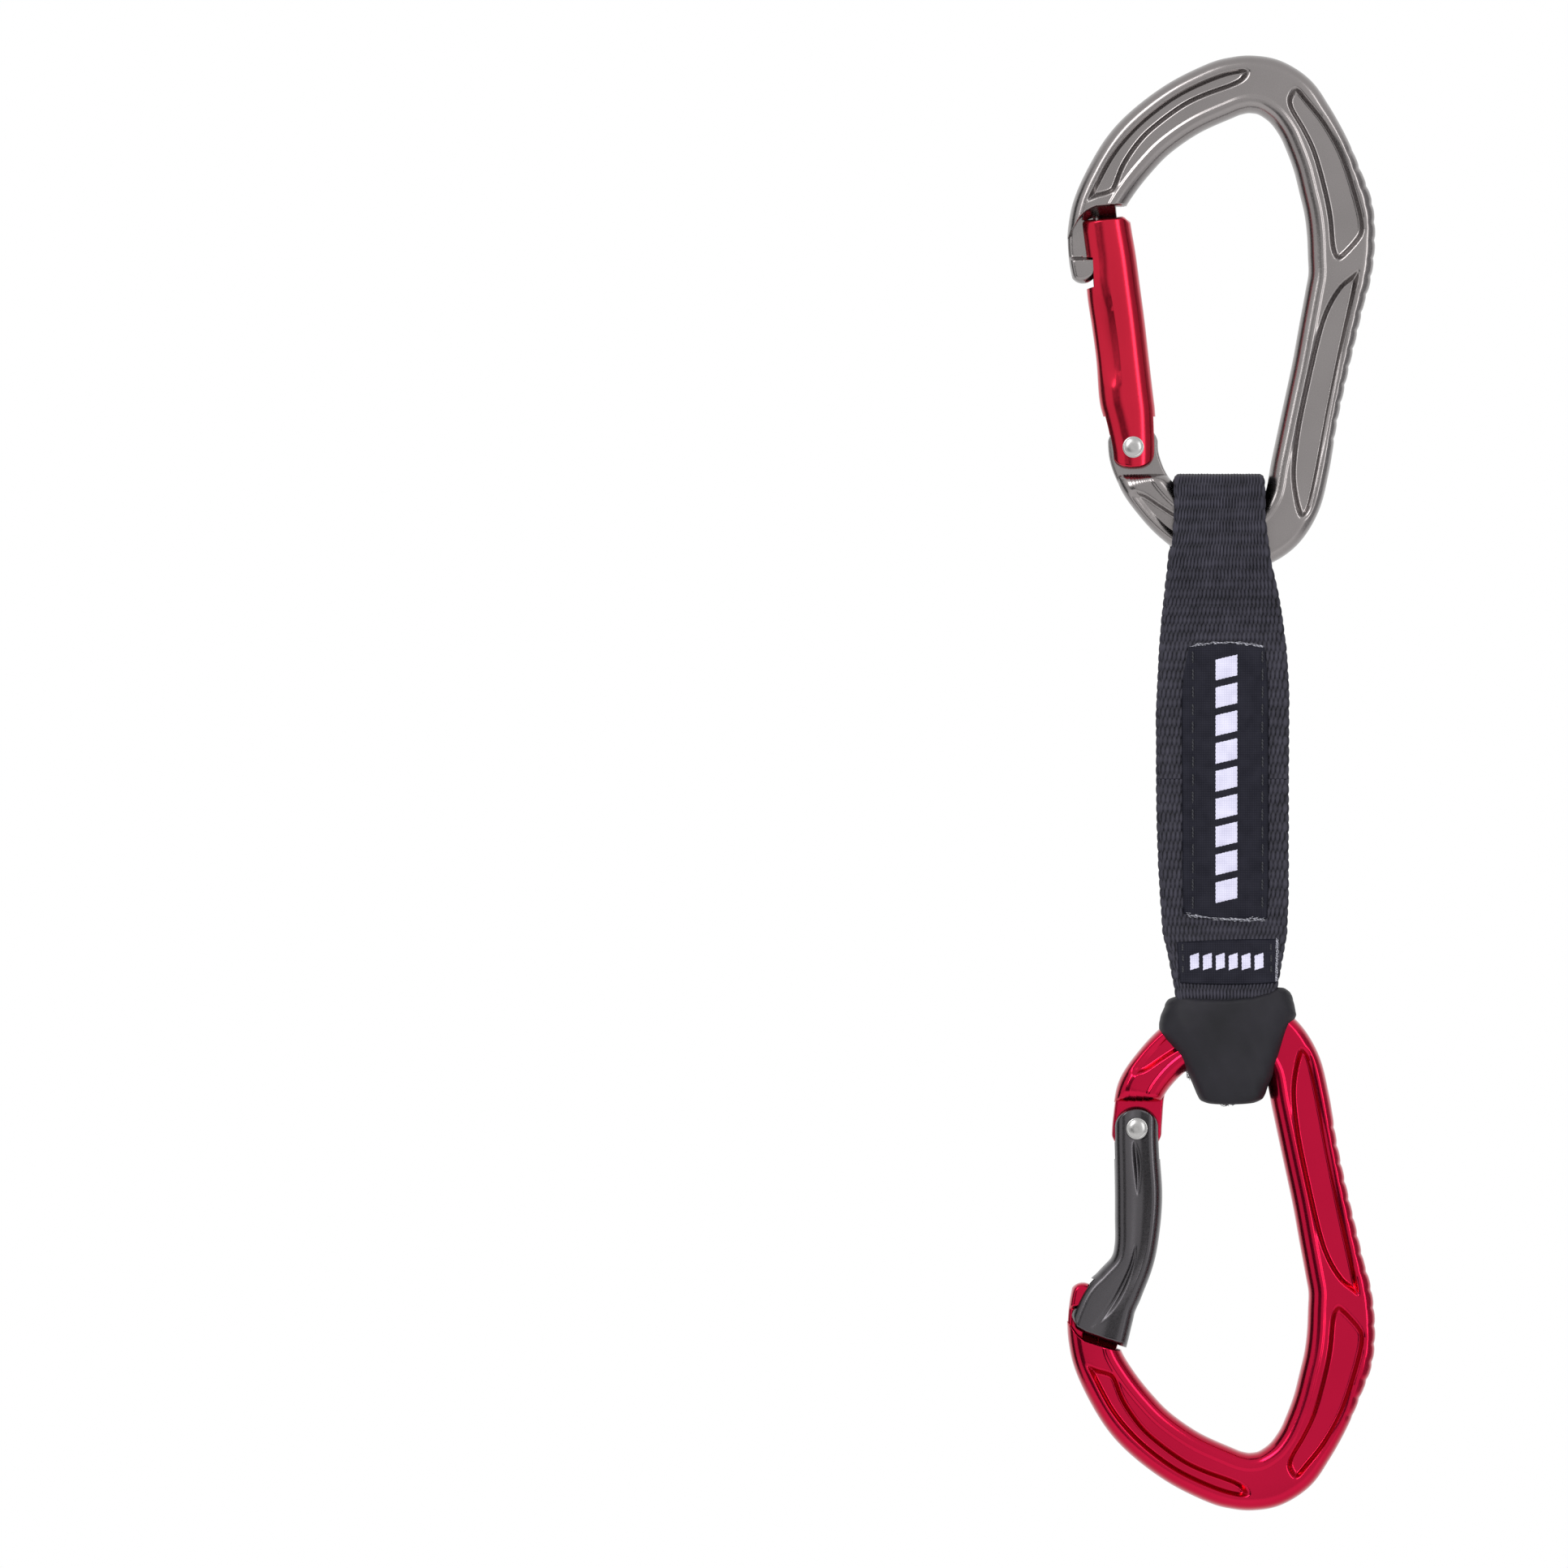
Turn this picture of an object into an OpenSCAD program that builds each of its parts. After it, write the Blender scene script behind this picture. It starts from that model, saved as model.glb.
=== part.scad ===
// Climbing quickdraw: two forged carabiners joined by a sewn webbing sling.
// The draw hangs along Z with its flat side towards -Y. The origin is the point
// of the upper carabiner's bow where a bolt hanger bears.

/* [Carabiners] */
// Distance between the two seats, from bolt hanger to rope
seat_to_seat = 259.6; // [250:0.2:275]
// Depth of each forging, front to back
body_depth = 10; // [9:0.5:12]
// Thickness of the web left between two facing pockets
web_depth = 5; // [4:0.5:7]
// Width of the rim left round a pocket
rim_width = 2.8; // [2:0.1:3.4]

/* [Gates] */
// Depth of each gate, front to back
gate_depth = 9.2; // [8.6:0.1:10]
// Thickness of the tang that the gate's fork straddles
tang_depth = 3.8; // [3:0.1:4.4]
// Gap between any two parts that move past each other
running_gap = 0.3; // [0.25:0.05:0.5]
// Diameter of the rivet that each gate turns on
rivet_d = 3; // [2.6:0.1:3.2]
// Diameter of the rivet's heads
rivet_head_d = 4; // [3.8:0.1:4.6]

/* [Gate springs] */
// Wire thickness
spring_wire = 0.4; // [0.3:0.05:0.5]
// Outer diameter of the coil
spring_d = 2.5; // [2.2:0.1:2.6]
// Number of coils
spring_turns = 9; // [6:1:12]
// Diameter of the bore that holds the spring and its pusher
spring_bore_d = 3; // [2.9:0.1:3.2]

/* [Sling] */
// Thickness of one ply of webbing
ply = 2; // [1.6:0.1:2.2]
// Half the outer depth of the two eyes
eye_half = 7.4; // [7.4:0.1:8]
// Thickness of the woven labels
label_thickness = 0.5; // [0.4:0.1:0.8]
// Half the depth of the rubber keeper
keeper_half_depth = 9; // [8.8:0.1:10]

/* [Hidden] */
$fn = 48;

// Colours of the real parts
gunmetal = [0.50, 0.48, 0.48];
red_anodised = [0.66, 0.04, 0.16];
dark_grey = [0.27, 0.26, 0.28];
steel = [0.78, 0.78, 0.79];
webbing_black = [0.13, 0.13, 0.17];
label_black = [0.08, 0.08, 0.12];
label_thread = [0.45, 0.45, 0.52];
rubber_black = [0.10, 0.10, 0.11];

// Middle line of the forging from nose to tang, each station [x, z, width].
// Both carabiners share it; the lower one is turned upside down.
forging_line = [
    [-29.9, -23, 9.9], [-29.1, -18.3, 9.7], [-22.7, -7.6, 11.1], [-12.2, 1.2, 11.4],
    [-6.5, 4, 11.9], [0.2, 5.7, 11.4], [4.2, 5, 11.5], [8.1, 2.5, 11.5],
    [13, -5, 11.6], [16.3, -13.7, 12.8], [18.2, -22.9, 13.3], [17.9, -31.6, 12.2],
    [15.7, -41.8, 11.4], [12.1, -58.8, 11], [10.3, -68.2, 11.5], [7.8, -78.2, 10.2],
    [-1, -83, 11], [-8.2, -81.6, 10.9], [-16.3, -76.6, 9.1], [-20.8, -70, 9.4],
    [-22, -64.7, 9.6]
];
// Curve steps between two stations
line_steps = 5;
// Pockets forged into both faces, as the stations where each begins and ends
pocket_spans = [[1.4, 4.6], [7.2, 10.2], [11.6, 14.6], [17.4, 18.2]];

// Rivet centres in the forging's own frame
top_pivot = [-22.2, -64.7];
bottom_pivot = [-21.5, -62.8];
// Lean of each gate's spring bore away from the vertical
top_gate_lean = 7;
bottom_gate_lean = 0;
// Radius of the tang, and depth below the rivet of the recess for the gate's ears
tang_radius = 5;
ear_recess = 5;
// Height of the tang's flat top above the rivet, where the pusher bears
tang_flat = 4.2;
// Heights above the rivet: pusher's foot and head, fork slot's roof, bore's end
pusher_foot = 4.3;
pusher_head = 12;
fork_roof = 6;
bore_end = 24;
pusher_d = spring_bore_d - 0.2;

// Edge of the forging above each closed gate, and of its outer rim beside the nose
top_end_face = [[-32.9, -30], [-32.9, -20.2], [-31.5, -19.4], [-28, -19.1], [-20, -17.2]];
bottom_end_face = [[-36, -26], [-34, -24.6], [-31.8, -22.1], [-24.9, -19.9], [-20, -18.2]];
nose_edge = [[-33.5, -17], [-34.5, -21], [-34.8, -24.2], [-34.6, -28.3]];

// Nose: a thin tongue with a wider key below it, which the gate's end closes over
tongue_depth = 3;
key_depth = 6.4;
nose_rim_depth = 8;
tongue_right = -27.8;
key_top = -28.3;
key_bottom = -32.4;
key_left = -34;
// How steeply the key's path leaves the gate, in rise over run
key_path_slope = 0.3;

// Outline of the straight upper gate and of the bent lower gate, as [x, z]
top_gate_outline = [
    [-24.3, -19.8], [-22.9, -21], [-20.9, -34.3], [-19.1, -47.5], [-18.2, -57],
    [-18.1, -65.5], [-19.3, -67.7], [-22, -68.7], [-24.6, -67.8], [-26, -65],
    [-28.9, -54.5], [-30.2, -41], [-31.2, -28.1], [-32.3, -22.2], [-31.7, -20.6]
];
bottom_gate_outline = [
    [-24.9, -20.6], [-23.1, -23.4], [-20.3, -30.5], [-17.6, -38.9], [-16.6, -48.6],
    [-17.2, -57.5], [-17.2, -64], [-18.8, -66], [-21.5, -66.9], [-24.3, -66],
    [-25.8, -63.8], [-25.7, -41], [-26.9, -36], [-31.1, -32.5], [-33, -28.9],
    [-33.6, -25.2], [-31.5, -22.8]
];

// Edges of the webbing down the sling, each station [z, left, right]
sling_edges = [
    [-69.6, -13.9, 2.6], [-82.3, -14.3, 3.6], [-97.6, -16.3, 6.5], [-111.7, -17.2, 7.8],
    [-135.4, -17.3, 7.6], [-151, -16.8, 7.8], [-159, -16.2, 7.5], [-163.7, -14.9, 6.5],
    [-170, -13.8, 5.4], [-177, -12.6, 4.8], [-184, -10.6, 4], [-192, -8.4, 3]
];
// Heights where the plies join and where each eye's sides start to close in
upper_throat = -98;
lower_throat = -158.5;
upper_shoulder = -89.4;
lower_shoulder = -170.2;
upper_eye_top = -69.7;
lower_eye_bottom = -189.8;
// Inner radius of the webbing where it turns over the basket
eye_corner = 1;

// Labels, as [left, right] and [top, bottom]
long_label_x = [-12.4, 4.5];
long_label_z = [-102.6, -156.2];
short_label_x = [-13.6, 5.4];
short_label_z = [-159.8, -169.1];
long_stitch_x = [-10.6, 2.9];
stitch_inset = 1.6;
stitch_width = 0.5;
stitch_length = 2.4;
stitch_pitch = 3.4;
short_stitch_x = [-12.4, 4.2];
short_stitch_rows = [-160.8 : -2.1 : -167];
short_stitch_length = 1.4;

// Bar tacks, as the top of each row, [left, right] and height
tack_rows = [-106 : -11.5 : -154];
tack_x = [-12, 3];
tack_height = 1.2;

// Outline of the rubber keeper that holds the lower eye on the basket
keeper_outline = [
    [-13.5, -171.2], [-16.6, -172.9], [-17.2, -176.2], [-16.1, -179.2], [-13.5, -182.3],
    [-10.6, -188.4], [-9, -192], [2.6, -191.8], [4.4, -188], [6.2, -182.3], [9.6, -174.6],
    [8.2, -170.4], [5.7, -169.4]
];
// Gap between keeper and webbing, and height of the floor under the webbing's fold
keeper_slack = 0.05;
keeper_floor_z = [-189.9, -195];

// A width and a depth that take in the whole sling, for cutting shapes
all_x = [-30, 20];
all_depth = 40;

// ---- Curves ----

function held(list, i) = list[max(0, min(len(list) - 1, i))];

function curve_point(a, b, c, d, t) =
    0.5 * (2 * b + (c - a) * t + (2 * a - 5 * b + 4 * c - d) * t * t
        + (3 * b - a - 3 * c + d) * t * t * t);

// Point at a fractional station of a list, on a smooth curve through all of them
function along(list, s) =
    let (i = min(len(list) - 2, floor(s)))
    curve_point(held(list, i - 1), held(list, i), held(list, i + 1), held(list, i + 2), s - i);

function stretch(list, from, to) =
    let (count = max(1, ceil((to - from) * line_steps)))
    [for (k = [0 : count]) along(list, from + (to - from) * k / count)];

function heading(line, i) =
    let (run = held(line, i + 1) - held(line, i - 1))
    [run[0], run[1]] / norm([run[0], run[1]]);

// One edge of a band, side 1 to its left and -1 to its right, drawn in by trim
function band_edge(line, side, trim) = [
    for (i = [0 : len(line) - 1])
        let (h = heading(line, i), half = line[i][2] / 2 - trim)
        [line[i][0] - side * h[1] * half, line[i][1] + side * h[0] * half]
];

function reversed(list) = [for (i = [len(list) - 1 : -1 : 0]) list[i]];

module band(line, trim = 0) {
    polygon(concat(band_edge(line, 1, trim), reversed(band_edge(line, -1, trim))));
}

// Stands a flat XZ outline up and gives it a depth, centred on Y = 0
module slab(depth) {
    rotate([90, 0, 0]) linear_extrude(height = depth, center = true) children();
}

// Stands a flat YZ outline up and runs it along X
module run_along_x(from, to) {
    translate([from, 0, 0]) rotate([90, 0, 90]) linear_extrude(height = to - from) children();
}

module box_xz(x_range, z_range) {
    translate([x_range[0], min(z_range)])
        square([x_range[1] - x_range[0], abs(z_range[0] - z_range[1])]);
}

// Places a part of the lower carabiner, drawn in the forging's own frame
module lower() {
    translate([0, 0, -seat_to_seat]) mirror([0, 0, 1]) children();
}

// Puts a shape along a gate's spring bore, measured up from its rivet
module on_gate_axis(pivot, lean) {
    translate([pivot[0], 0, pivot[1]]) rotate([0, -lean, 0]) children();
}

// ---- Carabiner forging ----

// Half circle round the end of a band, clockwise from the angle first
function round_end(line, i, first) =
    let (h = heading(line, i), r = line[i][2] / 2 - rim_width)
    [for (a = [first - 15 : -15 : first - 165])
        [line[i][0] + r * (h[0] * cos(a) - h[1] * sin(a)),
         line[i][1] + r * (h[1] * cos(a) + h[0] * sin(a))]];

module pocket(span) {
    line = stretch(forging_line, span[0], span[1]);
    polygon(concat(
        band_edge(line, 1, rim_width), round_end(line, len(line) - 1, 90),
        reversed(band_edge(line, -1, rim_width)), round_end(line, 0, -90)
    ));
}

module pockets() {
    for (side = [-1, 1], span = pocket_spans)
        translate([0, side * (web_depth + body_depth) / 2, 0]) slab(body_depth) pocket(span);
}

// Tang: thin plate with a round end, cut flat where the gate's pusher bears
module tang(pivot, lean) {
    difference() {
        slab(tang_depth) {
            band(stretch(forging_line, 18.4, 20), running_gap);
            translate(pivot) circle(r = tang_radius);
        }
        on_gate_axis(pivot, lean) translate([-15, -5, tang_flat]) cube([30, 10, 10]);
    }
}

// Nose: tongue and key, with a deep outer rim on the upper carabiner only
module nose(rim) {
    tongue_bottom = key_top - 1;
    slab(tongue_depth) polygon(concat(
        nose_edge, [[-34.2, tongue_bottom], [tongue_right, tongue_bottom], [tongue_right, -17]]
    ));
    slab(key_depth) box_xz([key_left, tongue_right], [key_top, key_bottom]);
    if (rim) slab(nose_rim_depth) polygon(concat(nose_edge, [[-32.9, key_top], [-32.9, -17]]));
}

module forging(pivot, lean, end_face, rim) {
    difference() {
        union() {
            difference() {
                slab(body_depth) band(stretch(forging_line, 0, 19.6));
                pockets();
                slab(body_depth + 2) {
                    polygon(concat(end_face, [[-20, -30]]));
                    box_xz([-35, -10], [pivot[1] - ear_recess, -50]);
                }
            }
            tang(pivot, lean);
            nose(rim);
        }
        rivet_bore(pivot, rivet_d);
    }
}

module rivet_bore(pivot, d) {
    translate([pivot[0], 0, pivot[1]]) rotate([90, 0, 0]) cylinder(d = d, h = 30, center = true);
}

module top_body() {
    color(gunmetal) forging(top_pivot, top_gate_lean, top_end_face, true);
}

module bottom_body() {
    color(red_anodised) lower() forging(bottom_pivot, bottom_gate_lean, bottom_end_face, false);
}

// ---- Gates ----

// Space that the nose sweeps as the gate leaves it, open to the left
module nose_slot() {
    wall = tongue_right + running_gap;
    slab(tongue_depth + 2 * running_gap) box_xz([-40, wall], [-10, key_top]);
    slab(key_depth + 2 * running_gap) polygon([
        [wall, key_top + 0.4], [wall, key_bottom - 0.5],
        [-40, key_bottom - 0.5 - key_path_slope * (40 + wall)], [-40, key_top + 0.4]
    ]);
}

module gate(outline, pivot, lean) {
    difference() {
        slab(gate_depth) polygon(outline);
        nose_slot();
        on_gate_axis(pivot, lean) {
            slab(tang_depth + 2 * running_gap) translate([-15, -15]) square([30, fork_roof + 15]);
            cylinder(d = spring_bore_d, h = bore_end);
        }
        rivet_bore(pivot, rivet_d + 0.1);
    }
}

module top_gate() {
    color(red_anodised) gate(top_gate_outline, top_pivot, top_gate_lean);
}

module bottom_gate() {
    color(dark_grey) lower() gate(bottom_gate_outline, bottom_pivot, bottom_gate_lean);
}

// Solid rivet: shank with a low domed head outside each of the gate's ears
module gate_rivet(pivot) {
    ear_face = gate_depth / 2 + 0.1;
    head_height = 0.6;
    translate([pivot[0], 0, pivot[1]]) rotate([90, 0, 0]) {
        cylinder(d = rivet_d, h = 2 * ear_face, center = true);
        for (side = [0, 1]) mirror([0, 0, side]) translate([0, 0, ear_face]) {
            cylinder(d = rivet_head_d, h = head_height / 2);
            translate([0, 0, head_height / 2])
                cylinder(d1 = rivet_head_d, d2 = rivet_head_d - 1, h = head_height / 2);
        }
    }
}

module top_gate_rivet() {
    color(steel) gate_rivet(top_pivot);
}

module bottom_gate_rivet() {
    color(steel) lower() gate_rivet(bottom_pivot);
}

module gate_pusher(pivot, lean) {
    on_gate_axis(pivot, lean) translate([0, 0, pusher_foot])
        cylinder(d = pusher_d, h = pusher_head - pusher_foot);
}

module top_gate_pusher() {
    color(steel) gate_pusher(top_pivot, top_gate_lean);
}

module bottom_gate_pusher() {
    color(steel) lower() gate_pusher(bottom_pivot, bottom_gate_lean);
}

// Compression spring: round wire swept along a helix as one closed tube
module coil(radius, height, turns, wire) {
    sides = 6;
    rings = turns * 12;
    centres = [
        for (k = [0 : rings])
            let (a = 360 * turns * k / rings)
            [radius * cos(a), radius * sin(a), wire / 2 + (height - wire) * k / rings, a]
    ];
    points = [
        for (c = centres, j = [0 : sides - 1])
            let (b = 360 * j / sides, out = radius + wire / 2 * cos(b))
            [out * cos(c[3]), out * sin(c[3]), c[2] + wire / 2 * sin(b)]
    ];
    walls = [
        for (k = [0 : rings - 1], j = [0 : sides - 1])
            let (a = k * sides + j, b = k * sides + (j + 1) % sides)
            [a, b, b + sides, a + sides]
    ];
    first_end = [for (j = [sides - 1 : -1 : 0]) j];
    last_end = [for (j = [0 : sides - 1]) rings * sides + j];
    polyhedron(points, concat([first_end], walls, [last_end]), convexity = 10);
}

module gate_spring(pivot, lean) {
    on_gate_axis(pivot, lean) translate([0, 0, pusher_head + 0.05])
        coil((spring_d - spring_wire) / 2, bore_end - pusher_head - 0.1, spring_turns, spring_wire);
}

module top_gate_spring() {
    color(steel) gate_spring(top_pivot, top_gate_lean);
}

module bottom_gate_spring() {
    color(steel) lower() gate_spring(bottom_pivot, bottom_gate_lean);
}

// ---- Sling ----

// Front view of the whole strip of webbing
module sling_front() {
    rows = stretch(sling_edges, 0, len(sling_edges) - 1);
    polygon(concat(
        [for (r = rows) [r[1], r[0]]],
        [for (r = reversed(rows)) [r[2], r[0]]]
    ));
}

// Side view of an eye: an end with rounded corners, straight sides, then sides
// that close in. half is its half depth and neck its half depth at the throat.
module eye_side(half, neck, crown, shoulder, throat, corner) {
    turn = crown > throat ? 1 : -1;
    flat = half - corner;
    middle = crown - turn * corner;
    polygon(concat(
        [[neck, throat], [half, shoulder]],
        [for (a = [0 : 10 : 90]) [flat + corner * cos(a), middle + turn * corner * sin(a)]],
        [for (a = [90 : 10 : 180]) [corner * cos(a) - flat, middle + turn * corner * sin(a)]],
        [[-half, shoulder], [-neck, throat]]
    ));
}

module webbing_eye(crown, shoulder, throat) {
    turn = crown > throat ? 1 : -1;
    intersection() {
        run_along_x(all_x[0], all_x[1]) difference() {
            eye_side(eye_half, ply, crown, shoulder, throat, eye_corner + ply);
            eye_side(eye_half - ply, 0.01, crown - turn * ply, shoulder, throat, eye_corner);
        }
        slab(all_depth) sling_front();
    }
}

module webbing_top_eye() {
    color(webbing_black) webbing_eye(upper_eye_top, upper_shoulder, upper_throat);
}

module webbing_bottom_eye() {
    color(webbing_black) webbing_eye(lower_eye_bottom, lower_shoulder, lower_throat);
}

// One flat ply between the throats; side is -1 in front and 1 behind
module middle_ply(side) {
    difference() {
        translate([0, side * ply / 2, 0]) slab(ply) intersection() {
            sling_front();
            box_xz(all_x, [upper_throat, lower_throat]);
        }
        bar_tacks();
    }
}

module webbing_front_ply() {
    color(webbing_black) middle_ply(-1);
}

module webbing_back_ply() {
    color(webbing_black) middle_ply(1);
}

// Dense rows of thread that sew the two plies together under the long label
module bar_tacks() {
    for (z = tack_rows)
        slab(2 * ply) box_xz(tack_x, [z, z - tack_height]);
}

module sling_bar_tacks() {
    color(label_thread) bar_tacks();
}

module long_label() {
    color(label_black) translate([0, -ply - label_thickness / 2, 0]) difference() {
        slab(label_thickness) box_xz(long_label_x, long_label_z);
        slab(2 * label_thickness) long_stitch_marks();
    }
}

// Two columns of stitches down the long label
module long_stitch_marks() {
    first = long_label_z[0] - stitch_inset;
    last = long_label_z[1] + stitch_inset + stitch_length;
    for (x = long_stitch_x, z = [first : -stitch_pitch : last])
        box_xz([x - stitch_width / 2, x + stitch_width / 2], [z, z - stitch_length]);
}

module long_label_stitches() {
    color(label_thread) translate([0, -ply - label_thickness / 2, 0])
        slab(label_thickness) long_stitch_marks();
}

// Short label: lies on the slope where the plies part to pass round the basket
module label_slope(outer, inner) {
    run = lower_shoulder - lower_throat;
    rise = eye_half - ply;
    polygon([
        for (p = [[0, inner], [0, outer], [1, outer], [1, inner]])
            let (z = short_label_z[p[0]])
            [-(ply + rise * (z - lower_throat) / run) - p[1], z]
    ]);
}

module short_stitch_marks() {
    for (x = short_stitch_x, z = short_stitch_rows)
        box_xz([x - stitch_width / 2, x + stitch_width / 2], [z, z - short_stitch_length]);
}

module short_label() {
    color(label_black) difference() {
        run_along_x(short_label_x[0], short_label_x[1]) label_slope(label_thickness, 0);
        slab(all_depth) short_stitch_marks();
    }
}

module short_label_stitches() {
    color(label_thread) intersection() {
        run_along_x(all_x[0], all_x[1]) label_slope(label_thickness, 0);
        slab(all_depth) short_stitch_marks();
    }
}

// Moulded rubber keeper: grips the lower eye and leaves a channel for the basket
module rubber_keeper() {
    color(rubber_black) difference() {
        slab(2 * keeper_half_depth) polygon(keeper_outline);
        intersection() {
            run_along_x(all_x[0], all_x[1])
                eye_side(
                    eye_half + keeper_slack, ply, lower_eye_bottom - keeper_slack, lower_shoulder,
                    lower_throat, eye_corner + ply
                );
            slab(all_depth) difference() {
                sling_front();
                box_xz(all_x, keeper_floor_z);
            }
        }
        lower() slab(body_depth + 2 * running_gap) band(stretch(forging_line, 14, 19), -running_gap);
    }
}

top_body();
top_gate();
top_gate_rivet();
top_gate_spring();
top_gate_pusher();
bottom_body();
bottom_gate();
bottom_gate_rivet();
bottom_gate_spring();
bottom_gate_pusher();
webbing_top_eye();
webbing_front_ply();
webbing_back_ply();
webbing_bottom_eye();
sling_bar_tacks();
long_label();
long_label_stitches();
short_label();
short_label_stitches();
rubber_keeper();
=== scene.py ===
# Climbing quickdraw: the looks of its forged carabiners, sprung gates, woven sling,
# labels and rubber keeper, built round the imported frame.
import math

import bmesh
import bpy
import numpy as np
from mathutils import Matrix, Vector


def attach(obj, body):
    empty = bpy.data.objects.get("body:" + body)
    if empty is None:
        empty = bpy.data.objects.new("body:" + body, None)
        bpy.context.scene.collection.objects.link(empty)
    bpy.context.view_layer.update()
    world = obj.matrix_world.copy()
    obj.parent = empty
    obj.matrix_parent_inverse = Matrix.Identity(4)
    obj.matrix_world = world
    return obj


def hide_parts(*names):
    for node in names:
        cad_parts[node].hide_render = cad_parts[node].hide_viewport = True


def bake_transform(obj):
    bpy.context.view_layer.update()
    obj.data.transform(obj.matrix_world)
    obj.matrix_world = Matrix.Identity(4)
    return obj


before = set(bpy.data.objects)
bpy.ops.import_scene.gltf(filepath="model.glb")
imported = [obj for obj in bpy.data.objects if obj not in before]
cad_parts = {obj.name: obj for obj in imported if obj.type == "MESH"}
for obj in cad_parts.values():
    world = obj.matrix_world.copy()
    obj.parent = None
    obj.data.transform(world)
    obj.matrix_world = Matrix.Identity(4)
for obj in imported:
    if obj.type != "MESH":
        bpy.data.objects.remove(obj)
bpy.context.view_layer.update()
scene = bpy.context.scene

# ---- Camera, light and floor ----
# A long lens looks straight at the front, with the draw hanging right of centre.
# Two soft lights, two dark cards and a grey one shape the reflections, as on a
# product table.
mm = 0.001
view_width = 304.3 * mm
view_centre = (-89.9 * mm, -130.0 * mm)
lens_mm = 420.0
sensor_mm = 36.0

camera_data = bpy.data.cameras.new("camera")
camera_data.lens = lens_mm
camera_data.sensor_width = sensor_mm
camera_data.clip_end = 50.0
camera = bpy.data.objects.new("camera", camera_data)
scene.collection.objects.link(camera)
camera.location = (view_centre[0], -view_width * lens_mm / sensor_mm, view_centre[1])
camera.rotation_euler = (math.radians(90), 0, 0)
scene.camera = camera
scene.view_settings.view_transform = "Standard"

world = bpy.data.worlds.new("studio")
world.use_nodes = True
world.node_tree.nodes["Background"].inputs["Color"].default_value = (1, 1, 1, 1)
world.node_tree.nodes["Background"].inputs["Strength"].default_value = 1.0
scene.world = world


def soft_light(name, place, aim, size, power):
    data = bpy.data.lights.new(name, "AREA")
    data.shape = "RECTANGLE"
    data.size, data.size_y = size
    data.energy = power
    light = bpy.data.objects.new(name, data)
    scene.collection.objects.link(light)
    light.location = place
    light.rotation_euler = (Vector(aim) - Vector(place)).to_track_quat("-Z", "Y").to_euler()
    light.visible_camera = False


middle = (0, 0, -0.13)
soft_light("key_light", (-0.55, -0.85, 0.45), middle, (0.35, 0.9), 7.0)
soft_light("fill_light", (0.75, -0.80, 0.10), middle, (0.25, 0.9), 3.0)


def plain_material(name, colour, roughness):
    material = bpy.data.materials.new(name)
    material.use_nodes = True
    shader = material.node_tree.nodes["Principled BSDF"]
    shader.inputs["Base Color"].default_value = (*colour, 1)
    shader.inputs["Roughness"].default_value = roughness
    return material


def card(name, corners, material):
    mesh = bpy.data.meshes.new(name)
    mesh.from_pydata(corners, [], [(0, 1, 2, 3)])
    mesh.materials.append(material)
    plane = bpy.data.objects.new(name, mesh)
    scene.collection.objects.link(plane)
    return plane


floor_z = -0.62
floor_half = 3.0
floor_grey = plain_material("floor_pale", (0.86, 0.86, 0.86), 0.9)
card(
    "floor",
    [(x * floor_half, y * floor_half, floor_z) for x, y in ((-1, -1), (1, -1), (1, 1), (-1, 1))],
    floor_grey,
)
flag_dark = plain_material("card_dark", (0.05, 0.05, 0.05), 0.9)
flag_grey = plain_material("card_grey", (0.38, 0.38, 0.39), 0.9)
card_low, card_high = -0.60, 0.40
for name, ends, tone in (
    ("card_left", ((-0.75, 0.05), (-0.75, 0.55)), flag_dark),
    ("card_right", ((0.80, -0.55), (0.80, 0.55)), flag_grey),
    ("card_front", ((-0.95, -0.95), (-0.20, -0.95)), flag_dark),
):
    (x0, y0), (x1, y1) = ends
    corners = [(x0, y0, card_low), (x1, y1, card_low), (x1, y1, card_high), (x0, y0, card_high)]
    flag = card(name, corners, tone)
    flag.visible_camera = flag.visible_shadow = flag.visible_diffuse = False

# ---- Upper carabiner's body ----
# Hot-forged aluminium bar, left bare and tumbled to a grey satin. Pockets forged into
# both faces save weight, the spine's back is notched for grip, and a keylock nose ends it.


def smooth_curve(points, steps, closed=False):
    """Dense points on a Catmull-Rom curve through the given ones."""
    p = np.array(points, float)
    if closed:
        p = np.vstack([p[-1], p, p[0], p[1]])
    else:
        p = np.vstack([2 * p[0] - p[1], p, 2 * p[-1] - p[-2]])
    a, b, c, d = p[:-3], p[1:-2], p[2:-1], p[3:]
    t = (np.arange(steps) / steps)[None, :, None]
    a, b, c, d = (q[:, None, :] for q in (a, b, c, d))
    curve = 0.5 * (
        2 * b + (c - a) * t + (2 * a - 5 * b + 4 * c - d) * t**2 + (3 * b - a - 3 * c + d) * t**3
    )
    curve = curve.reshape(-1, p.shape[1])
    return curve if closed else np.vstack([curve, p[-2]])


def ramp(value, low, high):
    """0 below low, 1 above high, and a smooth rise between them."""
    t = np.clip((value - low) / (high - low), 0, 1)
    return t * t * (3 - 2 * t)


def inside(x, z, outline):
    """Distance in from a closed outline, negative outside it."""
    a = np.asarray(outline, float)
    b = np.roll(a, -1, axis=0)
    nearest = np.full(x.shape, 1e9)
    odd = np.zeros(x.shape, bool)
    for (ax, az), (bx, bz) in zip(a, b):
        dx, dz = bx - ax, bz - az
        t = np.clip(((x - ax) * dx + (z - az) * dz) / (dx * dx + dz * dz + 1e-12), 0, 1)
        nearest = np.minimum(nearest, np.hypot(x - ax - t * dx, z - az - t * dz))
        if dz != 0:
            crosses = ((az > z) != (bz > z)) & (x < ax + dx * (z - az) / dz)
            odd ^= crosses
    return np.where(odd, nearest, -nearest)


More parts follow.
